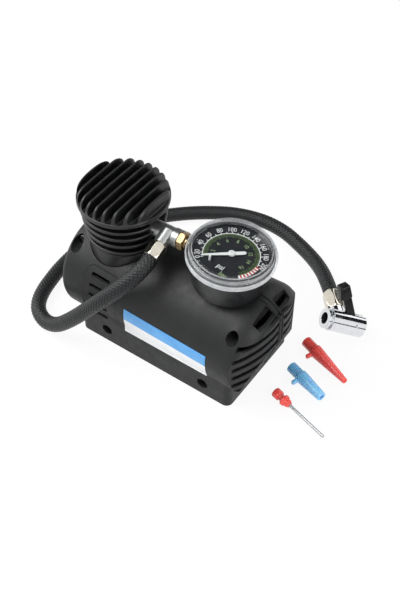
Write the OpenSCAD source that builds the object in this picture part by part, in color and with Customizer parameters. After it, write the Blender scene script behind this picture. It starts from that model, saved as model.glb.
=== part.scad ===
// Portable tyre inflator: a motor-driven piston pump in a two-shell case,
// with a finned pump head, a dial gauge, an air hose with a lever chuck and
// three loose adaptors. Millimetres, +Z up. The origin is on the surface it
// stands on, under the middle of its base. +X points to the vented end and
// -Y to the front.

/* [Case] */
// Depth of the case at its base, front to back
case_w = 76.2; // [74:0.1:92]
// Length of the base
base_l = 130; // [120:1:156]
// Height of the upright base face, up to the crease
base_h = 22.5; // [19:0.5:26]
// Wall thickness of the two shells
wall = 2.2; // [1.6:0.1:2.6]
// Radius of the left end of the barrel that lies along the case
barrel_r = 37.2; // [35:0.1:38]
// How much the barrel's radius grows towards the right
barrel_growth = 3.6; // [2:0.1:4]
// Height of the barrel's axis at the origin
barrel_z = 36.4; // [35:0.1:38]
// Rise of the barrel's axis towards the right, in degrees
barrel_rise = 1; // [0:0.1:1.5]
// How far the barrel runs past the base on the left
left_overhang = 17.5; // [12:0.5:30]
// How far the barrel runs past the base on the right
right_overhang = 14.8; // [12:0.2:18]
// Radius of the rounding on the barrel's left edge
left_round = 5; // [3:0.5:8]
// Radius of the rounding on the barrel's right edge
right_round = 18; // [14:0.5:20]
// Plan radius of the bulged right end
bulge_r = 62; // [56:1:80]

/* [Vents and screws] */
// Number of vent slots in each half of the right end
grille_slots = 6; // [4:1:6]
// Height from one vent slot to the next
grille_pitch = 8.1; // [8:0.1:8.6]
// Height of each vent slot
grille_slot_h = 3.8; // [2:0.2:4.4]
// Number of vent slots on the front left
front_slots = 5; // [3:1:5]
// Length of the front vent slots
front_slot_l = 16.5; // [10:0.5:18]
// Diameter of the recess round each case screw
recess_d = 8.6; // [7.6:0.1:9.2]
// Shank diameter of the case screws
case_screw_d = 2.9; // [2.4:0.1:3.2]

/* [Label] */
// Length of the label on the front face
label_l = 70; // [50:1:76]
// Height of the label, round the curve
label_h = 22; // [16:0.5:23]

/* [Motor] */
// Diameter of the motor can
motor_d = 36; // [32:0.5:38]
// Length of the motor can
motor_l = 57; // [50:1:60]
// Diameter of the motor's shaft
motor_shaft_d = 3.2; // [3:0.1:4]
// Number of teeth on the motor pinion
pinion_teeth = 12; // [12:1:13]
// Number of teeth on the crank gear
crank_teeth = 54; // [50:1:56]
// Gear module of the pump drive
drive_module = 0.6; // [0.58:0.01:0.62]

/* [Pump] */
// Distance of the pump's axis to the left of the origin
head_offset = 47.8; // [44:0.1:50]
// Bore diameter of the pump cylinder
bore_d = 20; // [17:0.5:20.5]
// Throw of the crank, half the stroke
crank_throw = 7; // [5:0.5:7.5]
// Diameter of the crank shaft
crank_shaft_d = 6; // [5:0.5:6.5]
// Diameter of the crank pin
crank_pin_d = 4; // [3:0.5:4.5]

/* [Pump head] */
// Diameter of the finned cover on top of the head
cover_d = 64; // [60:1:68]
// Height of the cover's top fins
fin_h = 9.2; // [6:0.2:10]
// Thickness of the cover's top fins
fin_t = 2.3; // [1.6:0.1:3]
// Distance from one top fin to the next
fin_pitch = 6.7; // [6:0.1:7.2]
// Number of cooling rings round the sleeve
ring_count = 4; // [2:1:4]
// Distance from one cooling ring to the next
ring_pitch = 7; // [6:0.1:7.2]

/* [Gauge] */
// Distance of the gauge to the right of the origin
gauge_offset = 39.7; // [38:0.1:42]
// Height of the gauge's face above the ground
gauge_h = 104; // [102:0.5:108]
// Lean of the gauge towards the right, in degrees
gauge_tilt = 4.4; // [0:0.2:6]
// Outer diameter of the gauge's lens
lens_d = 60; // [58:0.5:64]
// Travel of the pointer, in degrees
pointer_sweep = 262; // [200:1:270]
// Teeth on a whole sector wheel
sector_teeth = 80; // [76:1:82]
// Teeth on the pointer's pinion
pointer_teeth = 10; // [10:1:11]
// Gear module of the gauge movement
gauge_module = 0.4; // [0.38:0.01:0.41]

/* [Hose and chuck] */
// Outer diameter of the braided hose
hose_d = 11.4; // [10:0.1:11.8]
// Diameter of the chuck's body
chuck_d = 16.4; // [16:0.2:18]
// Length of the chuck's body
chuck_l = 31; // [29:0.5:36]
// Diameter of the port that takes a tyre valve
valve_port_d = 8.2; // [8:0.1:8.6]

/* [Adaptors] */
// Length of the red tapered nozzle
red_l = 44; // [38:1:52]
// Length of the blue tapered nozzle
blue_l = 33; // [28:1:40]
// Length of the inflating needle's tube
needle_l = 33; // [26:1:38]
// Diameter of the inflating needle's tube
needle_d = 2; // [1.8:0.1:2.4]

/* [Fits] */
// Radial clearance of a running fit
run_gap = 0.04; // [0.02:0.01:0.08]
// Gap between curved faces that lie together
seat_gap = 0.1; // [0.05:0.05:0.2]
// Gap between pieces that move past each other
move_gap = 0.35; // [0.3:0.05:0.6]
// Radial gap between pieces that are pressed or screwed together
snug = 0.02; // [0.01:0.01:0.03]

/* [Hidden] */
$fn = 64;

// Case, worked out from the sizes above
base_x0 = -base_l / 2 + 0.7;
base_x1 = base_x0 + base_l;
barrel_x0 = base_x0 - left_overhang;
barrel_x1 = base_x1 + right_overhang;
big_r = barrel_r + barrel_growth;
barrel_foot = 2;
base_corner = 5;
floor_t = wall + 0.2;
// Where the sloped label face meets the barrel
left_z = barrel_z + barrel_x0 * tan(barrel_rise);
crease_reach = norm([case_w / 2, left_z - base_h]);
crease_run = sqrt(pow(crease_reach, 2) - pow(barrel_r, 2));
crease_turn = atan2(left_z - base_h, case_w / 2) + acos(crease_run / crease_reach);
flank_y = case_w / 2 - crease_run * cos(crease_turn);
flank_z = base_h + crease_run * sin(crease_turn);

// Pump head and its openings
head_x = -head_offset;
deck_z = 54;
deck_t = 3;
flange_z = deck_z + deck_t;
flange_t = 3.5;
flange_r = 24.5;
sleeve_z = flange_z + flange_t;
collar_r = 25.5;
collar_top = 76;
head_hole_r = collar_r + 0.3;
chamber_z = 84;
casting_top = 100;
casting_r = 16;
chamber_r = bore_d / 2 + 1.5;
cap_t = 3.5;
cover_z = casting_top + cap_t + 2.5;
cover_rim = 4;
sleeve_bore_r = casting_r + 0.3;

// Crank drive: the motor above, the crank below it
motor_z = 45;
gear_distance = (pinion_teeth + crank_teeth) * drive_module / 2;
crank_z = motor_z - gear_distance;
rod_t = 5;
web_x = head_x + rod_t / 2 + move_gap;
web_t = 3.6;
gear_x = web_x + web_t;
gear_t = 5;
plate_x = gear_x + gear_t + 1.8;
plate_t = 4;
motor_x = plate_x + plate_t;
motor_r = motor_d / 2;
motor_end_x = motor_x + motor_l;
bush_r = 5;
bush_x = plate_x - 1.2;
crank_pin_x = head_x - rod_t / 2;

// Screw places: x and height of each case screw
case_screws_at = [
    [base_x0 - 11, left_z + 30],
    [base_x1 - 3.9, left_z + 28.8],
    [-40, 11.8],
    [43.5, 11]
];
recess_floor = [-13, -14, -26, -26];
boss_r = 5.4;
screw_tail = 8;
// The third screw ends in a lug on the pump frame, clear of the crank gear
lug_y = -20.4;
lug_t = 3.6;
screw_tip = [screw_tail, screw_tail, lug_y + lug_t - 0.4, screw_tail];
screw_head_h = 2.4;

// Gauge, in its own frame: z = 0 at the top of the drum
lens_r = lens_d / 2;
drum_top_r = lens_r - 1.4;
drum_low_r = 25;
drum_low_z = -26.5;
drum_round = 4;
drum_floor_z = -21;
drum_wall = 2;
drum_foot_r = 16;
drum_slope = (drum_top_r - drum_low_r) / -(drum_low_z + drum_round);
dial_z = -1.6;
dial_t = 0.6;
dial_r = drum_top_r - drum_wall - 0.5;
sector_r = sector_teeth * gauge_module / 2;
sector_far = (sector_teeth + pointer_teeth) * gauge_module / 2;
plate_low_z = -12.6;
plate_high_z = -4.6;
mesh_z = -9.4;
mesh_t = 1.6;
arbor_r = 0.8;
pointer_z = -0.4;
zero_angle = 221;
scale_span = 262;
sector_rest = -16;

// Outlet from the head to the gauge, with a branch for the hose
outlet_z = 93.6;
outlet_r = 6;
boss_x = head_x + casting_r + 2;
boss_out_r = 7.4;
port_r = 2.6;
tee_end = -0.9;
nut_l = 4.8;

// Chuck: its port is raised and looks left, its lever end rests on the ground
chuck_r = chuck_d / 2;
chuck_turn = 43;
chuck_tilt = 26;
chuck_port = [85.7, 54.1, chuck_l * sin(chuck_tilt) + chuck_r * cos(chuck_tilt) + 0.1];
chuck_side = [-sin(chuck_turn), cos(chuck_turn), 0];
chuck_hose_at = 13;
chuck_reach = 27.5;
function chuck_point(s) = chuck_port + s * [
    cos(chuck_tilt) * cos(chuck_turn), cos(chuck_tilt) * sin(chuck_turn), -sin(chuck_tilt)
];
chuck_join = chuck_point(chuck_hose_at);
// The hose meets the chuck at right angles, level with this point
hose_last = chuck_join + chuck_reach * chuck_side;

// Hose route, ferrule end to chuck end; it lies on the ground, then rises to the chuck
hose_ground = 5.8;
hose_rise = hose_last[2] - hose_ground;
hose_route = [
    [-9.8, -20.9, 89], [-9.8, -25.5, 87.16], [-11.3, -32, 83.6],
    [-15, -38.3, 78.4], [-20.4, -43.6, 71.8], [-27, -47.6, 64.2],
    [-34.3, -50.6, 55.6], [-42.4, -52.8, 45.6], [-51.4, -54.6, 34.6],
    [-60.8, -55.6, 23.8], [-69.5, -56, 15], [-77.5, -55.6, 9.4],
    [-85.5, -54.2, 6.4], [-93.2, -51.2, 5.8], [-99.4, -46.4, 5.8],
    [-104, -39.6, 5.8], [-107.4, -31, 5.8], [-110, -20, 5.8],
    [-112, -8, 5.8], [-113, 6, 5.8], [-112.4, 20, 5.8],
    [-110, 35, 5.8], [-105.5, 50, 5.8], [-98.4, 64.5, 5.8],
    [-89, 78.5, 5.8], [-78, 91, 5.8], [-65.7, 102.4, 5.8],
    [-52, 112.6, 5.8], [-38, 120.8, 5.8], [-22.5, 126.3, 5.8],
    [-7, 128.4, 5.8], [9, 126.8, 5.8], [24, 121.9, 5.8],
    [37.1, 115.8, hose_ground + 0.104 * hose_rise],
    [47.6, 108.9, hose_ground + 0.352 * hose_rise],
    [57.1, 101, hose_ground + 0.648 * hose_rise],
    [65, 93.2, hose_ground + 0.88 * hose_rise],
    hose_last + 5.5 * chuck_side, hose_last
];
hose_sides = 12;

ferrule_d = 13;
crimp_d = 14.4;
// The lever's plane is rolled back about the chuck's axis
chuck_roll = -25;
lever_at = 23;
lever_up = 2;
lever_lean = 36;
lever_l = 31.5;
lever_pin_d = 2;
lever_t = 4;
lever_hub_r = 4;
slot_half = lever_t / 2 + move_gap;
plunger_r = 2.2;
seal_r = valve_port_d / 2 + 0.9;
port_depth = 10.5;
port_bore = 7.5;
port_lip = 1.4;
collar_neck = 3.6;
neck_r = seal_r + 1.25;

// Adaptors: where each lies, and which way it points
red_at = [80.2, 40.4];
red_turn = -21;
blue_at = [83.6, 14.4];
blue_turn = -19;
needle_at = [86, -10.4];
needle_turn = -16;

// ---------- helpers ----------

// Rounded rectangle of exact arcs, centred
module round_rect(l, w, r) {
    square([l - 2 * r, w], center = true);
    square([l, w - 2 * r], center = true);
    for (x = [-1, 1], y = [-1, 1])
        translate([x * (l / 2 - r), y * (w / 2 - r)]) circle(r);
}

// Cylinder from x0 to x1 along X
module rod_x(x0, x1, r, y = 0, z = 0) {
    translate([x0, y, z]) rotate([0, 90, 0]) cylinder(h = x1 - x0, r = r);
}

// Cylinder from y0 to y1 along Y
module rod_y(y0, y1, r, x = 0, z = 0) {
    translate([x, y0, z]) rotate([-90, 0, 0]) cylinder(h = y1 - y0, r = r);
}

// Tube from z0 to z1 along Z
module tube_z(z0, z1, ro, ri) {
    translate([0, 0, z0]) difference() {
        cylinder(h = z1 - z0, r = ro);
        translate([0, 0, -1]) cylinder(h = z1 - z0 + 2, r = ri);
    }
}

// Extrudes a (y, z) outline along +X from x0
module along_x(x0, l) {
    translate([x0, 0, 0]) rotate([90, 0, 90]) linear_extrude(l) children();
}

// Puts +Z along direction d at point p
module aim(p, d) {
    translate(p) rotate([0, acos(d[2] / norm(d)), atan2(d[1], d[0])]) children();
}

// Roll angle of an involute at radius r on base radius rb, as a polar angle
function inv_angle(r, rb) =
    r <= rb ? 0 : sqrt(pow(r / rb, 2) - 1) * 180 / PI - acos(rb / r);

// Outline points of involute teeth, first to last, with thinned flanks
function gear_points(teeth, m, pressure, first, last) =
    let (
        rp = teeth * m / 2,
        rb = rp * cos(pressure),
        ra = rp + 0.85 * m,
        rf = rp - 1.15 * m,
        low = max(rf, rb),
        thin = 0.12 * m / rp * 90 / PI,
        half = 90 / teeth - thin + inv_angle(rp, rb),
        steps = 3,
        radii = [for (i = [0:steps]) low + (ra - low) * i / steps]
    )
    [for (k = [first:last]) each concat(
        rf < rb ? [polar(rf, k * 360 / teeth - half)] : [],
        [for (r = radii) polar(r, k * 360 / teeth - half + inv_angle(r, rb))],
        [for (i = [steps:-1:0])
            polar(radii[i], k * 360 / teeth + half - inv_angle(radii[i], rb))],
        rf < rb ? [polar(rf, k * 360 / teeth + half)] : []
    )];

function polar(r, a) = [r * cos(a), r * sin(a)];

function unit(v) = v / norm(v);

// Points of a tube's rings along a route, each ring square to its run
function tube_points(route, r, sides) =
    [for (i = [0:len(route) - 1])
        let (
            a = route[max(i - 1, 0)],
            b = route[min(i + 1, len(route) - 1)],
            t = unit(b - a),
            u = unit(cross(t, [0, 0, 1])),
            v = cross(t, u)
        )
        for (k = [0:sides - 1])
            route[i] + r * (cos((k + 0.5) * 360 / sides) * u
                + sin((k + 0.5) * 360 / sides) * v)
    ];

// Closed tube along a route
module tube(route, r, sides) {
    rings = len(route);
    faces = concat(
        [[for (k = [0:sides - 1]) k]],
        [for (i = [0:rings - 2], k = [0:sides - 1])
            let (a = i * sides + k, b = i * sides + (k + 1) % sides)
            [a, a + sides, b]],
        [for (i = [0:rings - 2], k = [0:sides - 1])
            let (a = i * sides + k, b = i * sides + (k + 1) % sides)
            [b, a + sides, b + sides]],
        [[for (k = [sides - 1:-1:0]) (rings - 1) * sides + k]]
    );
    polyhedron(points = tube_points(route, r, sides), faces = faces);
}

// ---------- case ----------

// Solid barrel, shrunk by inset on every side; it grows to the right, and
// its right end is bulged in plan
module barrel(inset = 0) {
    r0 = barrel_r - inset;
    r1 = big_r - inset;
    x0 = barrel_x0 + inset;
    x1 = barrel_x1 - inset;
    a = left_round - inset;
    b = right_round - inset;
    intersection() {
        translate([0, 0, barrel_z]) rotate([0, 90 - barrel_rise, 0]) rotate_extrude($fn = 128) {
            polygon([[0, x0 + a], [r0, x0 + a], [r1, x1 - b], [0, x1 - b]]);
            translate([0, x0]) square([r0 - a, x1 - x0]);
            translate([0, x1 - b - 1]) square([r1 - b, b + 1]);
            translate([r0 - a, x0 + a]) intersection() {
                circle(a);
                translate([0, -a]) square(a);
            }
            translate([r1 - b, x1 - b]) intersection() {
                circle(b);
                square(b);
            }
        }
        translate([barrel_x1 - bulge_r, 0, barrel_foot + inset])
            union() {
                cylinder(h = 2 * big_r, r = bulge_r - inset, $fn = 128);
                translate([-150, -60, 0]) cube([150, 120, 2 * big_r]);
            }
    }
}

// The slanting underside that the bulged right end is cut back to
module bulge_underside(inset = 0) {
    x = base_x1 - inset;
    rotate([90, 0, 0]) linear_extrude(200, center = true) polygon([
        [x, -10], [x, 13 + inset], [x + 4.6, 16 + inset],
        [x + 14.6, 46], [x + 60, 46], [x + 60, -10]
    ]);
}

// Solid base block with its upright lower faces and sloped upper faces
module base_block(inset = 0) {
    half = case_w / 2 - inset;
    low = inset > 0 ? floor_t : 0;
    intersection() {
        along_x(base_x0 + inset, base_l - 2 * inset) polygon([
            [-half, low], [half, low], [half, base_h],
            [flank_y - inset, flank_z], [-flank_y + inset, flank_z], [-half, base_h]
        ]);
        translate([(base_x0 + base_x1) / 2, 0, 0]) linear_extrude(100)
            round_rect(base_l - 2 * inset, case_w - 2 * inset, base_corner - inset * 0.8);
    }
}

module case_solid(inset = 0) {
    difference() {
        barrel(inset);
        bulge_underside(inset);
    }
    base_block(inset);
}

// Vent slots in the bulged end, on the front half; each one slopes down
// towards the front and leaves a rib along the seam
module grille_cuts() {
    for (i = [0:grille_slots - 1])
        translate([base_x1 + 1.4, 0, 25 + i * grille_pitch])
            rotate([11, 0, 0])
                translate([0, -60, -grille_slot_h / 2])
                    cube([40, 57.2, grille_slot_h]);
    // Larger opening above the slots
    translate([base_x1 + 3.6, 0, 25 + 6 * grille_pitch - 0.6]) rotate([11, 0, 0])
        translate([0, -19, -1.6]) cube([40, 16.2, 6]);
}

// Slot along X with round ends, cut along Y
module slot_y(x, z, l, h, y0, y1) {
    for (e = [x + h / 2, x + l - h / 2])
        rod_y(y0, y1, h / 2, e, z);
    translate([x + h / 2, y0, z - h / 2]) cube([l - h, y1 - y0, h]);
}

module front_vent_cuts() {
    for (i = [0:front_slots - 1])
        slot_y(base_x0 + 9.4, 25 + i * 7.7, front_slot_l, 3, -60, -18);
}

// Bosses that the case screws run in, with a rib under each low one
module case_bosses() {
    for (i = [0, 3])
        let (p = case_screws_at[i]) rod_y(-60, 12, boss_r, p[0], p[1]);
    rod_y(-60, 60, boss_r, case_screws_at[1][0], case_screws_at[1][1]);
    rod_y(-60, lug_y - 0.4, boss_r, case_screws_at[2][0], case_screws_at[2][1]);
    translate([case_screws_at[3][0] - 2, -20, 1]) cube([4, 31.5, 8]);
}

// The front half of the case wall before cuts, with the screw bosses; the back half is its mirror image
// with the bosses of the other side
module case_half(back = 0) {
    intersection() {
        union() {
            difference() {
                case_solid();
                case_solid(wall);
            }
            intersection() {
                mirror([0, back, 0]) case_bosses();
                case_solid(0.4);
            }
        }
        translate([-200, -100, -1]) cube([400, 100, 200]);
    }
}

module head_hole() {
    translate([head_x, 0, barrel_z]) cylinder(h = 60, r = head_hole_r);
}

module front_shell() {
    color("#2b2d2c") difference() {
        case_half(0);
        head_hole();
        grille_cuts();
        front_vent_cuts();
        for (i = [0:3])
            let (p = case_screws_at[i]) {
                rod_y(-60, recess_floor[i], recess_d / 2, p[0], p[1]);
                rod_y(-60, 1, case_screw_d / 2 + 0.2, p[0], p[1]);
            }
    }
}

module back_shell() {
    color("#2b2d2c") mirror([0, 1, 0]) difference() {
        case_half(1);
        head_hole();
        grille_cuts();
        for (p = case_screws_at)
            rod_y(-screw_tail - 1, 1, case_screw_d / 2 + snug, p[0], p[1]);
        translate([lead_x, 0, side_z]) rod_y(-60, -20, lead_r);
        translate([switch_x, -40, side_z]) cube([switch_cut_l, 30, switch_cut_h], center = true);
    }
}

module case_screws() {
    color("silver") for (i = [0:3])
        let (p = case_screws_at[i]) {
            rod_y(recess_floor[i] - screw_head_h, recess_floor[i], 3, p[0], p[1]);
            rod_y(recess_floor[i], screw_tip[i], case_screw_d / 2, p[0], p[1]);
        }
}

// Label, a thin sheet on the sloped front face and the curve above it
label_t = 0.25;
label_x = 12.3;
module front_label() {
    color("#5a9fe0") intersection() {
        difference() {
            case_solid(-label_t);
            case_solid();
        }
        translate([label_x, -30, 0]) along_x(-label_l / 2, label_l)
            translate([-20, base_h + 0.2]) square([20, label_h]);
    }
}

// ---------- back fittings ----------

lead_x = -36;
side_z = 11.4;
lead_r = 4;
lead_bore_r = 2.6;
switch_x = 22;
switch_cut_l = 19;
switch_cut_h = 13;
switch_depth = 12;

module lead_inlet() {
    color("#1c1c1c") translate([lead_x, 0, side_z]) difference() {
        union() {
            rod_y(case_w / 2, case_w / 2 + 2, 5.5);
            rod_y(case_w / 2 - wall - 2, case_w / 2, lead_r - run_gap);
            rod_y(case_w / 2 - wall - 4, case_w / 2 - wall, lead_r - run_gap);
        }
        rod_y(0, 60, lead_bore_r);
    }
}

module switch_body() {
    color("#161616") translate([switch_x, case_w / 2, side_z]) difference() {
        union() {
            translate([0, 0.8, 0]) cube([21, 1.6, 15], center = true);
            translate([0, -switch_depth / 2 + 0.01, 0])
                cube([switch_cut_l - 0.2, switch_depth, switch_cut_h - 0.2], center = true);
            for (x = [-5, 5])
                translate([x, -switch_depth - 2.5, 0]) cube([0.8, 5.5, 5], center = true);
        }
        translate([0, -2.2, 0]) cube([16.6, 8, 10.6], center = true);
    }
}

// Rocker, pressed in at its right end; its trunnions lie along Z
module switch_rocker() {
    color("#202020") translate([switch_x, case_w / 2 - 1.6, side_z]) {
        intersection() {
            linear_extrude(10, center = true) polygon([
                [-7.2, -1.8], [7.2, -2.2], [7.4, 2.4], [0, 3], [-7, 5.6]
            ]);
            cube([20, 20, 10], center = true);
        }
        cylinder(h = 10, r = 2.8, center = true);
    }
}

// ---------- pump frame, motor and crank ----------

module pump_frame() {
    color("#a8a9a6") difference() {
        union() {
            translate([plate_x, -18.5, floor_t]) cube([plate_t, 37, deck_z - floor_t]);
            translate([head_x - 20, -18.5, deck_z]) cube([motor_x - head_x + 20, 37, deck_t]);
            for (y = [-18.5, 15.5])
                along_x(plate_x - 9, 9) translate([y, deck_z - 8]) square([3, 8]);
            rod_x(plate_x - 1.2, plate_x, bush_r + 2.2, 0, crank_z);
            // Lug for one of the case's screws
            translate([case_screws_at[2][0] - 5, lug_y, floor_t])
                cube([plate_x + 1 - case_screws_at[2][0] + 5, lug_t, 15]);
        }
        rod_x(plate_x - 5, motor_x + 1, bush_r + snug, 0, crank_z);
        rod_x(plate_x - 5, motor_x + 1, 5.2, 0, motor_z);
        rod_y(-30, -10, case_screw_d / 2 + snug, case_screws_at[2][0], case_screws_at[2][1]);
        for (y = [-12.5, 12.5])
            rod_x(plate_x - 5, motor_x + 1, 1.7, y, motor_z);
        translate([head_x, 0, deck_z - 1]) cylinder(h = 10, r = bore_d / 2 + 2.6);
        for (a = [45:90:315])
            translate([head_x, 0, deck_z - 1]) rotate(a) translate([15.8, 0, 0])
                cylinder(h = 10, r = 1.5);
    }
}

// Motor screws and the screws of the cylinder's flange
module frame_screws() {
    color("silver") {
        for (y = [-12.5, 12.5]) {
            rod_x(plate_x - 1.6, plate_x, 2.8, y, motor_z);
            rod_x(plate_x, motor_x + 1.4, 1.4, y, motor_z);
        }
        for (a = [45:90:315])
            translate([head_x, 0, 0]) rotate(a) translate([15.8, 0, 0]) {
                translate([0, 0, deck_z - 2]) cylinder(h = 2, r = 2);
                translate([0, 0, deck_z]) cylinder(h = deck_t + flange_t - 0.6, r = 1.45);
            }
    }
}

can_t = 1.2;
module motor_can() {
    color("#c9c9c6") difference() {
        union() {
            rod_x(motor_x, motor_end_x, motor_r, 0, motor_z);
            rod_x(plate_x + 0.6, motor_x, 5, 0, motor_z);
        }
        rod_x(motor_x + can_t, motor_end_x + 1, motor_r - can_t, 0, motor_z);
        rod_x(plate_x, motor_x + 5, 3.4 + snug, 0, motor_z);
        for (y = [-12.5, 12.5])
            rod_x(motor_x - 1, motor_x + 5, 1.4 + snug, y, motor_z);
    }
}

module motor_end_cap() {
    color("#2f2f31") difference() {
        union() {
            rod_x(motor_end_x, motor_end_x + 2.4, motor_r, 0, motor_z);
            rod_x(motor_end_x - 3, motor_end_x, motor_r - can_t - 0.05, 0, motor_z);
            rod_x(motor_end_x + 2.4, motor_end_x + 5, 6, 0, motor_z);
        }
        rod_x(motor_end_x - 4, motor_end_x + 8, 3.4 + snug, 0, motor_z);
        for (y = [-1, 1])
            translate([motor_end_x - 4, y * 10.8 - 2, motor_z - 1.3]) cube([10, 4, 2.6]);
    }
}

magnet_in_r = 13;
module motor_magnets() {
    color("#3c3c3e") intersection() {
        difference() {
            rod_x(motor_x + 9, motor_end_x - 9, motor_r - can_t - snug, 0, motor_z);
            rod_x(motor_x, motor_end_x, magnet_in_r, 0, motor_z);
        }
        for (s = [-1, 1])
            translate([motor_x, s * motor_r - motor_r, motor_z - 11]) cube([motor_l, 2 * motor_r, 22]);
    }
}

shaft_r = motor_shaft_d / 2;
module motor_bushes() {
    color("#b08d57") {
        difference() {
            rod_x(plate_x + 1, motor_x + can_t, 3.4, 0, motor_z);
            rod_x(plate_x, motor_x + 5, shaft_r + run_gap, 0, motor_z);
        }
        difference() {
            rod_x(motor_end_x - 1, motor_end_x + 4, 3.4, 0, motor_z);
            rod_x(motor_end_x - 2, motor_end_x + 6, shaft_r + run_gap, 0, motor_z);
        }
    }
}

commutator_r = 4.6;
commutator_x = motor_end_x - 14;
module motor_brushes() {
    color("#4a4038") for (s = [-1, 1]) {
        y0 = s < 0 ? -commutator_r - move_gap - 5 : commutator_r + move_gap;
        translate([commutator_x + 2, y0, motor_z - 2]) cube([5, 5, 4]);
        // Spring arm from each brush to its slot in the end cap
        translate([commutator_x + 7, s * 9.4 - 0.3, motor_z - 1.2])
            cube([motor_end_x - commutator_x - 7, 0.6, 2.4]);
        translate([motor_end_x, s * 11 - 1.4, motor_z - 1])
            cube([6.5, 2.8, 2]);
        translate([motor_end_x - 0.6, s * 10.3 - 1.2, motor_z - 1])
            cube([0.6, 2.4, 2]);
    }
}

// Two wound chokes on the motor's terminals
choke_x = motor_end_x + 7;
choke_l = 15;
module suppression_chokes() {
    color("#b5651d") for (s = [-1, 1])
        translate([0, s * 11, motor_z + 2]) {
            rod_x(choke_x - 1.5, choke_x, 0.6);
            rod_x(choke_x, choke_x + choke_l, 2.4);
            for (i = [0:7])
                rod_x(choke_x + 1 + i * 1.7, choke_x + 2.3 + i * 1.7, 3.6);
            translate([choke_x - 2, -1, -1]) cube([0.8, 2, 1.6]);
        }
}

module motor_shaft() {
    color("silver")
        rod_x(gear_x - 1, motor_end_x + 4.6, shaft_r, 0, motor_z);
}

core_r = 12.4;
module armature() {
    color("#8c5a2b") difference() {
        union() {
            // Laminated core with its three poles
            for (a = [0:120:240])
                translate([0, 0, motor_z]) rotate([a, 0, 0]) {
                    intersection() {
                        rod_x(motor_x + 13, motor_end_x - 17, core_r);
                        translate([motor_x, -9, core_r - 3]) cube([motor_l, 18, 6]);
                    }
                    translate([motor_x + 13, -2.6, 0]) cube([motor_l - 30, 5.2, core_r - 1]);
                    // Winding round each pole
                    translate([motor_x + 10, -5.4, 4.8]) cube([motor_l - 24.5, 10.8, 4]);
                }
            rod_x(motor_x + 10, motor_end_x - 14.5, 5, 0, motor_z);
        }
        rod_x(motor_x, motor_end_x, shaft_r + snug, 0, motor_z);
    }
}

module commutator() {
    color("#b87333") difference() {
        rod_x(commutator_x, commutator_x + 9, commutator_r, 0, motor_z);
        rod_x(commutator_x - 1, commutator_x + 12, shaft_r + snug, 0, motor_z);
        for (a = [30:60:330])
            translate([0, 0, motor_z]) rotate([a, 0, 0])
                translate([commutator_x - 1, -0.25, commutator_r - 0.5]) cube([12, 0.5, 2]);
    }
}

pressure_angle = 25;
module motor_pinion() {
    color("#c8a24a") difference() {
        translate([0, 0, motor_z]) along_x(gear_x - 0.8, gear_t + 1)
            rotate(-90 + 180 / pinion_teeth)
                polygon(gear_points(pinion_teeth, drive_module, pressure_angle, 0, pinion_teeth - 1));
        rod_x(gear_x - 5, gear_x + 12, shaft_r + snug, 0, motor_z);
    }
}

module crank_bush() {
    color("#b08d57") difference() {
        rod_x(bush_x, motor_x - 0.4, bush_r, 0, crank_z);
        rod_x(bush_x - 1, motor_x + 1, crank_shaft_d / 2 + run_gap, 0, crank_z);
    }
}

module crank_shaft() {
    color("silver")
        rod_x(web_x, motor_x - 0.5, crank_shaft_d / 2, 0, crank_z);
}

module crank_gear() {
    color("#e6e2d6") difference() {
        translate([0, 0, crank_z]) along_x(gear_x, gear_t) rotate(90)
            polygon(gear_points(crank_teeth, drive_module, pressure_angle, 0, crank_teeth - 1));
        rod_x(gear_x - 1, gear_x + 9, crank_shaft_d / 2 + snug, 0, crank_z);
        for (a = [30:60:330])
            translate([0, 0, crank_z]) rotate([a, 0, 0])
                rod_x(gear_x - 1, gear_x + 9, 2.6, 0, 9.6);
    }
}

// Disc with a counterweight opposite the crank pin
web_r = 6.5;
module crank_web() {
    color("#9a9a98") difference() {
        union() {
            rod_x(web_x, gear_x, web_r, 0, crank_z);
            intersection() {
                rod_x(web_x, gear_x, 13, 0, crank_z);
                translate([web_x - 1, -20, crank_z - 20]) cube([10, 40, 18]);
            }
            translate([web_x, -3.2, crank_z]) cube([web_t, 6.4, crank_throw + 2.5]);
        }
        rod_x(web_x - 1, gear_x + 1, crank_shaft_d / 2 + snug, 0, crank_z);
    }
}

rod_eye_r = crank_pin_d / 2 + 2.6;
piston_r = bore_d / 2 - 0.08;
piston_h = 8;
crown_z = chamber_z - 0.8;
piston_z = crown_z - piston_h;

// The pin stays in the rod's eye and stops short of the crank's web
module crank_pin() {
    color("silver")
        rod_x(crank_pin_x - 1.4, web_x - move_gap, crank_pin_d / 2, 0, crank_z + crank_throw);
}

module con_rod() {
    color("#d8d6cf") difference() {
        union() {
            rod_x(head_x - rod_t / 2, head_x + rod_t / 2, rod_eye_r, 0, crank_z + crank_throw);
            translate([head_x - rod_t / 2, -2.6, crank_z + crank_throw])
                cube([rod_t, 5.2, piston_z - crank_z - crank_throw]);
        }
        rod_x(head_x - 9, head_x + 9, crank_pin_d / 2 + snug, 0, crank_z + crank_throw);
    }
}

cup_z = crown_z - 3;
module piston() {
    color("#c4c4c0") translate([head_x, 0, 0]) difference() {
        union() {
            translate([0, 0, piston_z]) cylinder(h = cup_z - piston_z, r = piston_r);
            translate([0, 0, cup_z]) cylinder(h = crown_z - cup_z, r = piston_r - 2.4);
        }
        // Intake ports through the crown
        for (a = [0:90:270])
            rotate(a) translate([5.6, 0, piston_z - 1]) cylinder(h = piston_h + 2, r = 0.9);
    }
}

module piston_cup() {
    color("#2a2a2a") translate([head_x, 0, 0])
        tube_z(cup_z, crown_z - 0.2, bore_d / 2 - run_gap, piston_r - 2.4 + snug);
}

// ---------- pump head ----------

// The gauge's own frame
module in_gauge() {
    translate([gauge_offset, 0, gauge_h]) rotate([0, gauge_tilt, 0]) children();
}

// Puts X along the outlet's axis
module on_outlet() {
    translate([0, 0, outlet_z]) children();
}

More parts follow.
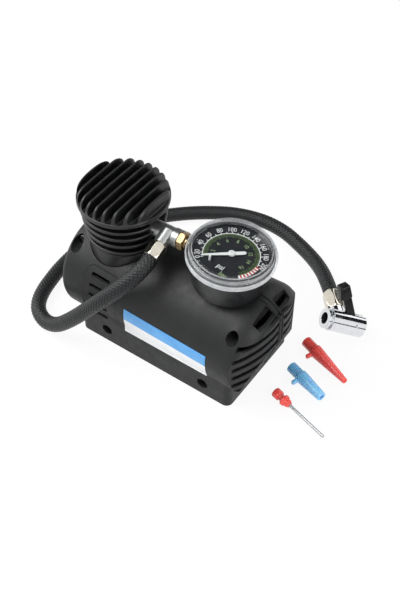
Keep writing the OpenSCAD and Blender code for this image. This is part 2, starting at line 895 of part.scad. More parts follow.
// Room for the motor under the rims that reach over it
module motor_room() {
    rod_x(motor_x - 0.5, motor_end_x, motor_r + 0.4, 0, motor_z);
}

module pump_cylinder() {
    color("#b3b4b1") difference() {
        union() {
            translate([head_x, 0, 0]) {
                translate([0, 0, deck_z - 2]) cylinder(h = 6, r = bore_d / 2 + 2.5);
                translate([0, 0, flange_z]) cylinder(h = flange_t, r = flange_r);
                translate([0, 0, flange_z]) cylinder(h = casting_top - flange_z, r = bore_d / 2 + 3.2);
                translate([0, 0, chamber_z - 4]) cylinder(h = casting_top - chamber_z + 4, r = casting_r);
            }
            on_outlet() rod_x(boss_x - 6, boss_x, boss_out_r);
        }
        translate([head_x, 0, deck_z - 4]) cylinder(h = 60, r = bore_d / 2);
        translate([head_x, 0, chamber_z]) cylinder(h = 60, r = chamber_r);
        on_outlet() rod_x(boss_x - 12, boss_x + 1, port_r);
        motor_room();
        for (a = [45:90:315])
            translate([head_x, 0, 0]) rotate(a) {
                translate([15.8, 0, deck_z]) cylinder(h = deck_t + flange_t - 0.6, r = 1.45 + snug);
                translate([13.8, 0, casting_top - 7]) cylinder(h = 12, r = 1.2 + snug);
            }
    }
}

plate_valve_t = 2;
module valve_plate() {
    color("#c9a86a") translate([head_x, 0, 0]) difference() {
        translate([0, 0, chamber_z]) cylinder(h = plate_valve_t, r = chamber_r - 0.05);
        translate([0, 0, chamber_z - 1]) cylinder(h = 9, r = 1.6);
    }
}

disc_z = chamber_z + plate_valve_t;
disc_t = 1;
spring_top = casting_top - 4;
module valve_disc() {
    color("#3a3a3a") translate([head_x, 0, disc_z]) cylinder(h = disc_t, r = 4);
}

spring_turns = 4;
spring_wire = 0.35;
spring_r = 3;
spring_steps = 14;
module valve_spring() {
    z0 = disc_z + disc_t + spring_wire;
    z1 = spring_top - spring_wire;
    route = [for (i = [0:spring_turns * spring_steps])
        let (s = i / (spring_turns * spring_steps))
        [head_x + spring_r * cos(360 * spring_turns * s),
         spring_r * sin(360 * spring_turns * s),
         z0 + (z1 - z0) * s]
    ];
    color("silver") tube(route, spring_wire, 6);
}

module cylinder_cap() {
    color("#9fa09d") difference() {
        translate([head_x, 0, 0]) {
            translate([0, 0, casting_top]) cylinder(h = cap_t, r = casting_r);
            translate([0, 0, spring_top]) cylinder(h = casting_top - spring_top, r = 5);
        }
        for (a = [45:90:315])
            translate([head_x, 0, 0]) rotate(a) translate([13.8, 0, casting_top - 1])
                cylinder(h = 9, r = 1.4);
        on_outlet() rod_x(boss_x - 8, boss_x + 1, boss_out_r + 0.1);
    }
}

module cap_screws() {
    color("silver") translate([head_x, 0, 0]) for (a = [45:90:315])
        rotate(a) translate([13.8, 0, 0]) {
            translate([0, 0, casting_top + cap_t]) cylinder(h = 1.8, r = 2.1);
            translate([0, 0, casting_top - 6]) cylinder(h = 6 + cap_t, r = 1.2);
        }
}

ring_t = 2.6;
sleeve_r = 21.5;
module finned_sleeve() {
    color("#232323") difference() {
        translate([head_x, 0, 0]) union() {
            translate([0, 0, sleeve_z]) cylinder(h = collar_top - sleeve_z, r = collar_r);
            translate([0, 0, collar_top]) cylinder(h = cover_z - collar_top, r = sleeve_r);
            for (i = [0:ring_count - 1])
                translate([0, 0, collar_top + 2.4 + i * ring_pitch])
                    cylinder(h = ring_t, r1 = 27 + i * 0.9, r2 = 27.5 + i * 0.9);
        }
        translate([head_x, 0, sleeve_z - 1]) cylinder(h = 60, r = sleeve_bore_r);
        motor_room();
        // Room for the outlet, open upwards so that the sleeve can be lifted
        on_outlet() translate([boss_x - 8, -boss_out_r - 0.6, -boss_out_r - 0.6])
            cube([26, 2 * boss_out_r + 1.2, 60]);
    }
}

fin_count = 9;
fin_round = 5;
module head_cover() {
    r = cover_d / 2;
    color("#262626") translate([head_x, 0, 0]) {
        translate([0, 0, cover_z]) cylinder(h = 1.4, r1 = r - 1.2, r2 = r);
        translate([0, 0, cover_z + 1.4]) cylinder(h = cover_rim - 1.4, r = r);
        intersection() {
            union() for (i = [0:fin_count - 1])
                translate([(i - (fin_count - 1) / 2) * fin_pitch - fin_t / 2, -r, cover_z + cover_rim - 0.5])
                    cube([fin_t, 2 * r, fin_h + 0.5]);
            translate([0, 0, cover_z]) rotate_extrude() {
                square([r - 0.6 - fin_round, cover_rim + fin_h]);
                square([r - 0.6, cover_rim + fin_h - fin_round]);
                translate([r - 0.6 - fin_round, cover_rim + fin_h - fin_round]) intersection() {
                    circle(fin_round);
                    square(fin_round);
                }
            }
        }
    }
}

// ---------- outlet ----------

hose_dir = unit(hose_route[1] - hose_route[0]);
ferrule_l = 11.2;
ferrule_base = hose_route[0] - hose_dir * ferrule_l;
module outlet_tee() {
    branch_l = norm(ferrule_base - [ferrule_base[0], 0, outlet_z]);
    color("#9b9c99") difference() {
        union() {
            on_outlet() {
                rod_x(boss_x, boss_x + 2.6, boss_out_r);
                rod_x(boss_x, tee_end - 5.6, outlet_r);
                rod_x(tee_end - 5.6, tee_end - 4.8, outlet_r - 0.5);
                rod_x(tee_end - 4.8, tee_end, outlet_r + 0.7);
            }
            aim(ferrule_base - hose_dir * branch_l, hose_dir) cylinder(h = branch_l, r = 5.2);
        }
        on_outlet() rod_x(boss_x - 1, tee_end + 1, port_r);
        aim(ferrule_base - hose_dir * (branch_l - 1), hose_dir) cylinder(h = branch_l, r = 2.2);
    }
}

module gauge_nut() {
    color("#b8823c") on_outlet() translate([tee_end, 0, 0]) rotate([0, 90, 0])
        difference() {
            union() {
                cylinder(h = nut_l, r = 7, $fn = 6);
                cylinder(h = nut_l + 1.6, r = 4.6);
            }
            translate([0, 0, -1]) cylinder(h = nut_l + 4, r = 2.8);
        }
}

// Crimped ferrule: a short neck at the tee and a six-sided crimp on the hose
module outlet_ferrule() {
    color("#c9c6bd") aim(ferrule_base, hose_dir) difference() {
        union() {
            cylinder(h = 1, r = 5.2);
            translate([0, 0, 1]) cylinder(h = ferrule_l - 1, r = ferrule_d / 2, $fn = 6);
        }
        translate([0, 0, -1]) cylinder(h = ferrule_l + 2, r = 2.2);
    }
}

module hose() {
    color("#1d1d1f") tube(hose_route, hose_d / 2, hose_sides);
}

// ---------- chuck ----------

chuck_in = -chuck_side;
chuck_ferrule_l = chuck_reach - chuck_r - 2.4;

// The chuck's frame: +X from the port to the lever end
module in_chuck() {
    translate(chuck_port) rotate([0, chuck_tilt, chuck_turn]) children();
}

module chuck_ferrule() {
    color("#c9c6bd") aim(hose_last, chuck_in) difference() {
        union() {
            cylinder(h = chuck_ferrule_l - 2, r = crimp_d / 2, $fn = 6);
            translate([0, 0, chuck_ferrule_l - 2]) cylinder(h = 2, r = 5.4);
        }
        translate([0, 0, -1]) cylinder(h = 40, r = 2);
    }
}

// Ring round the port, screwed into the body to hold the seal
module chuck_collar() {
    color("#d4d5d6") in_chuck() difference() {
        union() {
            rod_x(0, 2.2, chuck_r - 0.8);
            rod_x(2.2, port_depth - 0.1, neck_r);
        }
        rod_x(-1, port_depth + 1, valve_port_d / 2 + 0.2);
        rod_x(port_lip, port_depth + 1, seal_r + snug);
    }
}

module chuck_body() {
    color("#d9dadb") difference() {
        union() {
            in_chuck() rod_x(collar_neck, chuck_l, chuck_r);
            // Socket that the hose ferrule screws into
            intersection() {
                aim(hose_last + chuck_in * chuck_ferrule_l, chuck_in)
                    cylinder(h = chuck_reach - chuck_ferrule_l, r = 6);
                in_chuck() translate([-5, -30, -chuck_r]) cube([chuck_l + 10, 60, 2 * chuck_r]);
            }
        }
        in_chuck() {
            rod_x(-1, port_depth, neck_r + snug);
            rod_x(0, chuck_l - 9, plunger_r + snug);
        }
        in_lever() {
            translate([lever_at - lever_hub_r - 1, -slot_half, -lever_hub_r + lever_up - 0.6])
                cube([40, 2 * slot_half, 30]);
            translate([lever_at, 0, lever_up]) rotate([0, -lever_lean, 0])
                translate([-3.6, -slot_half, 0]) cube([40, 2 * slot_half, 30]);
            rod_y(-20, 20, lever_pin_d / 2 + snug, lever_at, lever_up);
        }
        aim(hose_last, chuck_in) cylinder(h = chuck_reach, r = 2);
    }
}

// The chuck's frame, rolled to the lever's plane
module in_lever() {
    in_chuck() rotate([chuck_roll, 0, 0]) children();
}

module chuck_seal() {
    color("#1a1a1a") in_chuck() difference() {
        rod_x(port_lip, port_depth, seal_r);
        rod_x(-1, port_bore, valve_port_d / 2);
        rod_x(-1, port_depth + 1, plunger_r + snug);
    }
}

module chuck_plunger() {
    color("#b08d57") in_chuck()
        rod_x(port_bore + 0.3, lever_at - lever_hub_r - 1.2, plunger_r);
}

// Lever with a wide thumb pad, leaning towards the port
module chuck_lever() {
    color("#1b1b1b") in_lever() translate([lever_at, 0, lever_up]) rotate([0, -lever_lean, 0])
        difference() {
            union() {
                rotate([90, 0, 0]) cylinder(h = lever_t, r = lever_hub_r, center = true);
                translate([-3, -lever_t / 2, 0]) cube([6, lever_t, lever_l - 9]);
                translate([-6, -4.2, lever_l - 10]) cube([9, 8.4, 10]);
            }
            rotate([90, 0, 0]) cylinder(h = 30, r = lever_pin_d / 2 + run_gap, center = true);
        }
}

module lever_pin() {
    color("silver") in_lever()
        rod_y(-chuck_r + 1, chuck_r - 1, lever_pin_d / 2, lever_at, lever_up);
}

// ---------- gauge ----------

// The drum is a cup; its foot is cut to the barrel's curve
module gauge_drum() {
    color("#2c2c2d") difference() {
        in_gauge() difference() {
            union() {
                rotate_extrude() {
                    polygon([
                        [0, drum_low_z + drum_round], [drum_low_r, drum_low_z + drum_round],
                        [drum_top_r, 0], [0, 0]
                    ]);
                    translate([0, drum_low_z]) square([drum_low_r - drum_round, drum_round]);
                    translate([drum_low_r - drum_round, drum_low_z + drum_round])
                        intersection() {
                            circle(drum_round);
                            translate([0, -drum_round]) square(drum_round);
                        }
                }
                translate([0, 0, -50]) cylinder(h = 50 + drum_low_z, r = drum_foot_r);
            }
            translate([0, 0, drum_floor_z]) cylinder(h = 60,
                r1 = drum_top_r - drum_wall + drum_slope * drum_floor_z,
                r2 = drum_top_r - drum_wall + drum_slope * (60 + drum_floor_z));
        }
        barrel(-seat_gap);
        on_outlet() rod_x(-60, gauge_offset, 3.1);
    }
}

stem_end = gauge_offset - 14;
module gauge_stem() {
    color("#c39a4a") difference() {
        union() {
            on_outlet() {
                rod_x(tee_end + nut_l + 1.6, stem_end - 3, 3);
                rod_x(tee_end + 1, tee_end + nut_l + 1.6, 2.7);
            }
            in_gauge() translate([-19, -3.4, drum_floor_z]) cube([5, 6.8, 13]);
        }
        on_outlet() rod_x(tee_end, stem_end - 2.5, 1.2);
    }
}

bourdon_r = 20;
bourdon_z = -17.6;
module bourdon_tube() {
    color("#c8a45c") in_gauge() translate([0, 0, bourdon_z]) {
        rotate(-163) rotate_extrude(angle = 245)
            translate([bourdon_r - 0.9, -1.6]) square([1.8, 3.2]);
        rotate(82) translate([bourdon_r - 1.6, -0.6, -1.9]) cube([3.2, 2.8, 3.8]);
        // Root of the tube, against the stem's block
        translate([-21, -6.8, -1.9]) cube([4.2, 3.4, 3.8]);
    }
}

// Two plates on pillars that carry the sector and the pointer's arbor
module movement_frame() {
    color("#cdb06a") in_gauge() difference() {
        union() {
            for (z = [plate_low_z, plate_high_z - 1])
                translate([0, -sector_far / 2, z + 0.5]) linear_extrude(1)
                    round_rect(9, sector_far + 8, 3);
            for (y = [2.6, 1.2 - sector_far], x = [-3.8, 3.8])
                translate([x, y, drum_floor_z])
                    cylinder(h = plate_high_z - drum_floor_z - 0.5, r = 0.75);
        }
        translate([0, 0, -30]) cylinder(h = 40, r = arbor_r + run_gap);
        translate([0, -sector_far, -30]) cylinder(h = 40, r = arbor_r + run_gap);
    }
}

// Toothed sector on its arbor; its middle tooth line starts at sector_rest
module sector_gear() {
    teeth_span = 7;
    color("#d9bd74") in_gauge() translate([0, -sector_far, 0]) {
        translate([0, 0, plate_low_z - 0.2]) cylinder(h = plate_high_z - plate_low_z + 0.4, r = arbor_r);
        translate([0, 0, mesh_z]) linear_extrude(mesh_t) rotate(90 + sector_rest) {
            polygon(concat(
                [[0, 0]],
                gear_points(sector_teeth, gauge_module, pressure_angle, -teeth_span, teeth_span)
            ));
            circle(3);
        }
    }
}

module pointer_arbor() {
    color("#d9bd74") in_gauge() {
        translate([0, 0, plate_low_z - 0.2]) cylinder(h = pointer_z - plate_low_z + 0.9, r = arbor_r);
        translate([0, 0, mesh_z - 0.6]) linear_extrude(mesh_t + 1.2)
            rotate(-90 + 180 / pointer_teeth - sector_rest * sector_teeth / pointer_teeth)
                polygon(gear_points(pointer_teeth, gauge_module, pressure_angle, 0, pointer_teeth - 1));
    }
}

stop_r = 15;
module dial() {
    color("#1b1c1e") in_gauge() {
        difference() {
            translate([0, 0, dial_z]) cylinder(h = dial_t, r = dial_r);
            translate([0, 0, dial_z - 1]) cylinder(h = 4, r = 2);
        }
        // Stop pin under the pointer, just past the scale's zero
        rotate(zero_angle + 14) translate([stop_r, 0, dial_z + dial_t]) cylinder(h = 3.6, r = 0.7);
        // Posts that carry the dial on the movement's top plate
        for (x = [-3.2, 3.2])
            translate([x, 3.4, plate_high_z + 0.5]) cylinder(h = dial_z - plate_high_z - 0.5, r = 0.8);
    }
}

needle_reach = 20;
module pointer() {
    color("white") in_gauge() translate([0, 0, pointer_z]) rotate(zero_angle) difference() {
        union() {
            cylinder(h = 1.6, r = 2.4);
            linear_extrude(0.6) polygon([
                [-9, -1.3], [0, -1.3], [needle_reach, -0.5], [needle_reach, 0.5],
                [0, 1.3], [-9, 1.3]
            ]);
        }
        translate([0, 0, -1]) cylinder(h = 4, r = arbor_r + snug);
    }
}

lens_h = 6;
module gauge_lens() {
    color([0.85, 0.9, 0.92, 0.45]) in_gauge() rotate_extrude($fn = 128) difference() {
        union() {
            translate([0, -2.6]) square([lens_r, 3.6]);
            square([lens_r - 2.2, lens_h - 1.4]);
            square([lens_r - 3.8, lens_h]);
        }
        translate([-1, -5]) square([lens_r - 5.4, lens_h + 3.4]);
        translate([-1, -5]) square([lens_r - 3, 7]);
        translate([-1, -5]) square([drum_top_r + 0.05 + 1, 5]);
    }
}

// ---------- adaptors ----------

module lying(at, turn, r) {
    translate([at[0], at[1], r]) rotate([0, 90, turn]) children();
}

// Tapered nozzle: collar, step and cone with a bore, and a lug on its side
module nozzle(l, collar_l, collar_d, cone_d, tip_d, bore_in, bore_out, lug_z) {
    difference() {
        union() {
            cylinder(h = collar_l, r = collar_d / 2);
            translate([0, 0, collar_l]) cylinder(h = l - collar_l, r1 = cone_d / 2, r2 = tip_d / 2);
            rotate(-90) translate([cone_d / 2 - 1.4, -1.6, lug_z]) cube([5.6, 3.2, 2.4]);
        }
        translate([0, 0, -1]) cylinder(h = collar_l + 1, r = bore_in / 2);
        translate([0, 0, collar_l - 0.5]) cylinder(h = l - collar_l + 1, r1 = bore_in / 2, r2 = bore_out / 2);
    }
}

red_cone_d = 9.6;
module red_nozzle() {
    color("#d8202a") lying(red_at, red_turn, red_cone_d / 2 + 0.05)
        nozzle(red_l, 10, 8, red_cone_d, 4, 5, 2, 10.5);
}

blue_cone_d = 9.4;
module blue_nozzle() {
    color("#5fb0e6") lying(blue_at, blue_turn, blue_cone_d / 2 + 0.05)
        nozzle(blue_l, 10, 8, blue_cone_d, 6.6, 5, 3.6, 10.5);
}

hub_l = 15;
needle_step = 0.25;
hub_r = 4;
module needle_hub() {
    color("#d8202a") lying(needle_at, needle_turn, hub_r + 0.05) difference() {
        union() {
            cylinder(h = 5, r = 3.6);
            translate([0, 0, 5]) cylinder(h = 4, r = 2.4);
            translate([0, 0, 9]) cylinder(h = 1.6, r = hub_r);
            translate([0, 0, 10.6]) cylinder(h = hub_l - 10.6, r1 = 3.4, r2 = 1.8);
            translate([-0.8, -3.8, 5]) cube([1.6, 7.6, 4]);
        }
        translate([0, 0, -1]) cylinder(h = 9, r = 1.8);
        translate([0, 0, 7]) cylinder(h = 20, r = needle_d / 2 - needle_step + snug);
    }
}

module needle_tube() {
    color("silver") lying(needle_at, needle_turn, hub_r + 0.05) difference() {
        union() {
            translate([0, 0, 8]) cylinder(h = hub_l - 8, r = needle_d / 2 - needle_step);
            translate([0, 0, hub_l]) cylinder(h = needle_l, r = needle_d / 2);
        }
        translate([0, 0, 7]) cylinder(h = hub_l + needle_l, r = needle_d / 2 - 0.4);
    }
}

front_shell();
back_shell();
case_screws();
front_label();
lead_inlet();
switch_body();
switch_rocker();
pump_frame();
frame_screws();
motor_can();
motor_end_cap();
motor_magnets();
motor_bushes();
motor_brushes();
suppression_chokes();
motor_shaft();
armature();
commutator();
motor_pinion();
crank_bush();
crank_shaft();
crank_gear();
crank_web();
crank_pin();
con_rod();
piston();
piston_cup();
pump_cylinder();
valve_plate();
valve_disc();
valve_spring();
cylinder_cap();
cap_screws();
finned_sleeve();
head_cover();
outlet_tee();
gauge_nut();
outlet_ferrule();
hose();
chuck_ferrule();
chuck_collar();
chuck_body();
chuck_seal();
chuck_plunger();
chuck_lever();
lever_pin();
gauge_drum();
gauge_stem();
bourdon_tube();
movement_frame();
sector_gear();
pointer_arbor();
dial();
pointer();
gauge_lens();
red_nozzle();
blue_nozzle();
needle_hub();
needle_tube();
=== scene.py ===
"""Portable tire inflator: finished surfaces and materials built round the exact parts of its frame.

The file is laid out as an add-on. Every piece is an operator, its sizes and colours are properties,
and main() runs the operators in order. Lengths are in metres, and profiles are given in millimetres.
"""

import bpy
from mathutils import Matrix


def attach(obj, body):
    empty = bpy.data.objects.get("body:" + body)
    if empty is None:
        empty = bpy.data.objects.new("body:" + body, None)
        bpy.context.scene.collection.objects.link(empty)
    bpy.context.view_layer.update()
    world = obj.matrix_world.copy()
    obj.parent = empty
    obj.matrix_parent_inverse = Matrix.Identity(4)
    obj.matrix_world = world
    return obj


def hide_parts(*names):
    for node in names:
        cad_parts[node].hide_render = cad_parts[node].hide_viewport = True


bl_info = {
    "name": "Portable Tire Inflator",
    "version": (1, 0, 0),
    "blender": (4, 5, 0),
    "location": "3D View > Sidebar > Inflator",
    "description": "Builds the finished pieces and materials of a portable tire inflator",
    "category": "Add Mesh",
}

import math

import bmesh
import bpy
import numpy as np
from bpy.props import FloatProperty, FloatVectorProperty, IntProperty, PointerProperty
from mathutils import Vector
from mathutils.bvhtree import BVHTree

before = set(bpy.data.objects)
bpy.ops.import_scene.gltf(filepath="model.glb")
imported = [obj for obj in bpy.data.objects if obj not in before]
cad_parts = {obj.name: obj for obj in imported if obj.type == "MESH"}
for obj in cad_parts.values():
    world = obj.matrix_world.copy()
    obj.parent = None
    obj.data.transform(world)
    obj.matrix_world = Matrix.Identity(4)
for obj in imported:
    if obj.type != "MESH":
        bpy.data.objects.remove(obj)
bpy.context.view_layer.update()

MM = 0.001
PSI_PER_BAR = 14.504
# Points of one piece that lie nearer than this are one point (m)
WELD = 1e-6

# The head stands on this axis, and the gauge, the chuck and its lever have frames of their own (mm)
HEAD_X = -47.8
GAUGE_AT, GAUGE_TILT = (39.7, 0.0, 104.0), 4.4
CHUCK_AT, CHUCK_TURN, CHUCK_TILT = (85.7, 54.1, 21.0596), 43.0, 26.0
LEVER_ROLL, LEVER_PIVOT, LEVER_LEAN = -25.0, (23.0, 0.0, 2.0), -36.0
OUTLET_Z = 93.6

# The camera's place and the point it looks at (mm)
CAMERA_AT, CAMERA_TARGET = (274.9, -369.0, 542.5), (14.9, 0.0, 44.0)

# Levels of the dial's face and of the top of its print (mm), and the pointer's angle at rest
DIAL_FACE, DIAL_PRINT, POINTER_REST = -1.0, -0.94, 221.0

# Middle line of the hose, from the outlet's ferrule to the chuck's (mm)
HOSE_ROUTE = np.array([
    (-9.8, -20.9, 89), (-9.8, -25.5, 87.16), (-11.3, -32, 83.6), (-15, -38.3, 78.4),
    (-20.4, -43.6, 71.8), (-27, -47.6, 64.2), (-34.3, -50.6, 55.6), (-42.4, -52.8, 45.6),
    (-51.4, -54.6, 34.6), (-60.8, -55.6, 23.8), (-69.5, -56, 15), (-77.5, -55.6, 9.4),
    (-85.5, -54.2, 6.4), (-93.2, -51.2, 5.8), (-99.4, -46.4, 5.8), (-104, -39.6, 5.8),
    (-107.4, -31, 5.8), (-110, -20, 5.8), (-112, -8, 5.8), (-113, 6, 5.8), (-112.4, 20, 5.8),
    (-110, 35, 5.8), (-105.5, 50, 5.8), (-98.4, 64.5, 5.8), (-89, 78.5, 5.8), (-78, 91, 5.8),
    (-65.7, 102.4, 5.8), (-52, 112.6, 5.8), (-38, 120.8, 5.8), (-22.5, 126.3, 5.8),
    (-7, 128.4, 5.8), (9, 126.8, 5.8), (24, 121.9, 5.8), (37.1, 115.8, 6.794),
    (47.6, 108.9, 9.166), (57.1, 101, 11.996), (65, 93.2, 14.214), (71.739, 86.203, 15.361),
    (75.488, 82.181, 15.361),
])
OUTLET_FERRULE_L = 11.2
CHUCK_FERRULE_L = 16.9


# ---------------------------------------------------------------- frames and numbers

def linear(code):
    """An sRGB hex colour as linear red, green, blue and alpha: straight up to 0.04045, then a 2.4 power."""
    s = np.array([int(code[i:i + 2], 16) / 255 for i in (1, 3, 5)])
    rgb = np.where(s <= 0.04045, s / 12.92, ((s + 0.055) / 1.055) ** 2.4)
    return (*rgb.tolist(), 1.0)


def turn(axis, degrees):
    """A 4 by 4 turn about one world axis."""
    c, s = math.cos(math.radians(degrees)), math.sin(math.radians(degrees))
    m = np.eye(4)
    i, j = {"x": (1, 2), "y": (2, 0), "z": (0, 1)}[axis]
    m[i, i], m[i, j], m[j, i], m[j, j] = c, -s, s, c
    return m


def shift(x, y, z):
    """A 4 by 4 move."""
    m = np.eye(4)
    m[:3, 3] = x, y, z
    return m


def aim(point, direction):
    """A frame at point whose +Z runs along direction: a turn about Y, then about Z."""
    d = np.asarray(direction, float)
    d = d / np.linalg.norm(d)
    polar, azimuth = math.degrees(math.acos(d[2])), math.degrees(math.atan2(d[1], d[0]))
    return shift(*point) @ turn("z", azimuth) @ turn("y", polar)


GAUGE = shift(*GAUGE_AT) @ turn("y", GAUGE_TILT)
CHUCK = shift(*CHUCK_AT) @ turn("z", CHUCK_TURN) @ turn("y", CHUCK_TILT)
LEVER = CHUCK @ turn("x", LEVER_ROLL) @ shift(*LEVER_PIVOT) @ turn("y", LEVER_LEAN)
HEAD = shift(HEAD_X, 0, 0)
EXIT_DIR = HOSE_ROUTE[1] - HOSE_ROUTE[0]
EXIT_DIR = EXIT_DIR / np.linalg.norm(EXIT_DIR)
CHUCK_IN = (CHUCK @ np.array([13.0, 0, 0, 1]))[:3] - HOSE_ROUTE[-1]
CHUCK_IN = CHUCK_IN / np.linalg.norm(CHUCK_IN)


# ---------------------------------------------------------------- nodes

def add(tree, kind, links=(), out=None, **settings):
    """Adds one node. links gives its inputs, in order or by name, a value or another node's output each, and
    settings are its own options. Returns the node, or its output out where that is given."""
    node = tree.nodes.new("ShaderNode" + kind)
    for key, value in settings.items():
        setattr(node, key, value)
    for key, value in links.items() if isinstance(links, dict) else enumerate(links):
        if isinstance(value, bpy.types.NodeSocket):
            tree.links.new(value, node.inputs[key])
        else:
            node.inputs[key].default_value = value
    return node if out is None else node.outputs[out]


def new_material(name):
    """An empty node material and its tree."""
    material = bpy.data.materials.new(name)
    material.use_nodes = True
    material.node_tree.nodes.clear()
    return material, material.node_tree


def clouds(tree, size_mm, detail=2.0, rough=0.5, spread=None):
    """A cloudy pattern on object coordinates, whose blotches are about size_mm across. The noise stays near
    its middle, and spread gives the two values that 0.3 and 0.7 of it become."""
    unit = 1 / (size_mm * MM)
    where = add(tree, "TexCoord", out="Object")
    where = add(tree, "Mapping", {"Vector": where, "Scale": (unit, unit, unit)}, "Vector")
    cloud = add(tree, "TexNoise", {"Vector": where, "Scale": 1.0, "Detail": detail,
                                   "Roughness": rough}, "Fac")
    return cloud if spread is None else add(tree, "MapRange", (cloud, 0.3, 0.7, *spread), "Result")


def shade(tone, share, lift=0.0):
    """A colour made lighter or darker: each part times share, plus lift, and at most 1."""
    return (*(min(1.0, c * share + lift) for c in tone[:3]), 1.0)


def surface_finish(name, colour, metal, rough, grain_mm, grain_depth_mm, mottle_mm, lift, edge_mm,
                   rough_spread=0.08, **extra):
    """A solid finish: blotches of mottle_mm shift colour and roughness, grain of grain_mm stands
    grain_depth_mm proud, and edges are rounded by edge_mm. extra sets the shader's other sockets."""
    material, tree = new_material(name)
    blotch = clouds(tree, mottle_mm, 4.0, 0.6, (0.0, 1.0))
    dark, pale = shade(colour, 1 - 0.6 * lift), shade(colour, 1 + lift, 0.01 * lift)
    tint = add(tree, "Mix", {0: blotch, 6: dark, 7: pale}, 2, data_type="RGBA")
    edge = add(tree, "Bevel", {"Radius": edge_mm * MM}, "Normal", samples=4)
    bump = add(tree, "Bump", {"Height": clouds(tree, grain_mm), "Strength": 1.0,
                              "Distance": grain_depth_mm * MM, "Normal": edge}, "Normal")
    dull = clouds(tree, mottle_mm * 0.6, 3.0, 0.5, (rough - rough_spread, rough + rough_spread))
    shader = add(tree, "BsdfPrincipled", {"Base Color": tint, "Metallic": metal, "Roughness": dull,
                                          "Normal": bump, **extra}, "BSDF")
    add(tree, "OutputMaterial", {"Surface": shader})
    return material


# ---------------------------------------------------------------- surfaces

def quads(rows, cols, wrap_rows=False, wrap_cols=False):
    """Four indices for each face of a grid. A wrapped side joins its last line to its first."""
    r = np.arange(rows if wrap_rows else rows - 1)
    c = np.arange(cols if wrap_cols else cols - 1)
    r0, c0 = (a.ravel() for a in np.meshgrid(r, c, indexing="ij"))
    r1, c1 = (r0 + 1) % rows, (c0 + 1) % cols
    return np.stack([r0 * cols + c0, r1 * cols + c0, r1 * cols + c1, r0 * cols + c1], axis=1)


def placed(points, place):
    """Points in millimetres of a frame, as metres of the row frame."""
    flat = points.reshape(-1, 3)
    return (flat @ place[:3, :3].T + place[:3, 3]).reshape(points.shape) * MM


def seated(place, *sheets):
    """Sheets (points, wrap_rows, wrap_cols) of a frame, their points as metres of the row frame."""
    return [(placed(points, place), wrap_rows, wrap_cols) for points, wrap_rows, wrap_cols in sheets]


def mesh_piece(name, sheets, material, body, stands_for=(), smooth=32.0, uvs=None):
    """Joins point grids (points, wrap_rows, wrap_cols) in metres into one closed mesh.

    Points that coincide are merged, so poles and seams close, then all faces are turned outwards.
    Edges under the smooth angle are shaded round. uvs gives one (rows, cols, 2) grid for each sheet."""
    verts, faces, start = [], [], 0
    for points, wrap_rows, wrap_cols in sheets:
        rows, cols = points.shape[:2]
        verts.append(points.reshape(-1, 3))
        faces.append(quads(rows, cols, wrap_rows, wrap_cols) + start)
        start += rows * cols
    verts, faces = np.concatenate(verts), np.concatenate(faces)
    mesh = bpy.data.meshes.new(name)
    mesh.vertices.add(len(verts))
    mesh.vertices.foreach_set("co", verts.astype(np.float32).ravel())
    mesh.loops.add(faces.size)
    mesh.loops.foreach_set("vertex_index", faces.astype(np.int32).ravel())
    mesh.polygons.add(len(faces))
    mesh.polygons.foreach_set("loop_start", np.arange(0, faces.size, 4, dtype=np.int32))
    mesh.update(calc_edges=True)
    if uvs is not None:
        layer = mesh.uv_layers.new(name="UVMap")
        flat = np.concatenate([u.reshape(-1, 2) for u in uvs])
        layer.data.foreach_set("uv", flat[faces.ravel()].astype(np.float32).ravel())
    work = bmesh.new()
    work.from_mesh(mesh)
    bmesh.ops.remove_doubles(work, verts=work.verts, dist=WELD)
    bmesh.ops.dissolve_degenerate(work, edges=work.edges, dist=1e-8)
    bmesh.ops.recalc_face_normals(work, faces=work.faces)
    work.to_mesh(mesh)
    work.free()
    return settle(bpy.data.objects.new(name, mesh), material, body, stands_for, smooth)


def settle(piece, material, body, stands_for=(), smooth=32.0):
    """Links a piece, shades it, ties it to its body, and hides the exact parts it stands for."""
    bpy.context.scene.collection.objects.link(piece)
    piece.data.materials.clear()
    piece.data.materials.append(material)
    piece.data.shade_smooth()
    piece.data.set_sharp_from_angle(angle=math.radians(smooth))
    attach(piece, body)
    if stands_for:
        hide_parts(*stands_for)
    return piece


def rounded(corners, steps=6):
    """A profile with its corners rounded. Each corner is (a, b, radius): the arc touches both edges
    where they are radius / tan(half angle) from the corner, and its points are spread by equal angles."""
    corners = np.asarray(corners, float)
    out = []
    for i, (a, b, radius) in enumerate(corners):
        here = np.array([a, b])
        before = corners[i - 1, :2] - here
        after = corners[(i + 1) % len(corners), :2] - here
        if radius <= 0 or not np.any(before) or not np.any(after):
            out.append(here[None])
            continue
        la, lb = np.linalg.norm(before), np.linalg.norm(after)
        u, v = before / la, after / lb
        half = math.acos(np.clip(u @ v, -1, 1)) / 2
        if half > math.pi / 2 - 0.01:
            out.append(here[None])
            continue
        reach = min(radius / math.tan(half), 0.49 * la, 0.49 * lb)
        r = reach * math.tan(half)
        middle = here + (u + v) / np.linalg.norm(u + v) * r / math.sin(half)
        first, last = here + u * reach - middle, here + v * reach - middle
        sweep = math.atan2(first[0] * last[1] - first[1] * last[0], first @ last)
        t = np.linspace(0, sweep, steps)[:, None]
        side = np.array([-first[1], first[0]])
        out.append(middle + np.cos(t) * first + np.sin(t) * side)
    return np.concatenate(out)


def lathe(profile, steps=96):
    """Turns a profile of (radius, height) once about Z: x = r cos a, y = r sin a, z = h."""
    a = np.linspace(0, 2 * np.pi, steps, endpoint=False)
    r, h = profile[:, 0:1], profile[:, 1:2]
    return np.stack([r * np.cos(a), r * np.sin(a), np.broadcast_to(h, (len(profile), steps))], axis=-1)


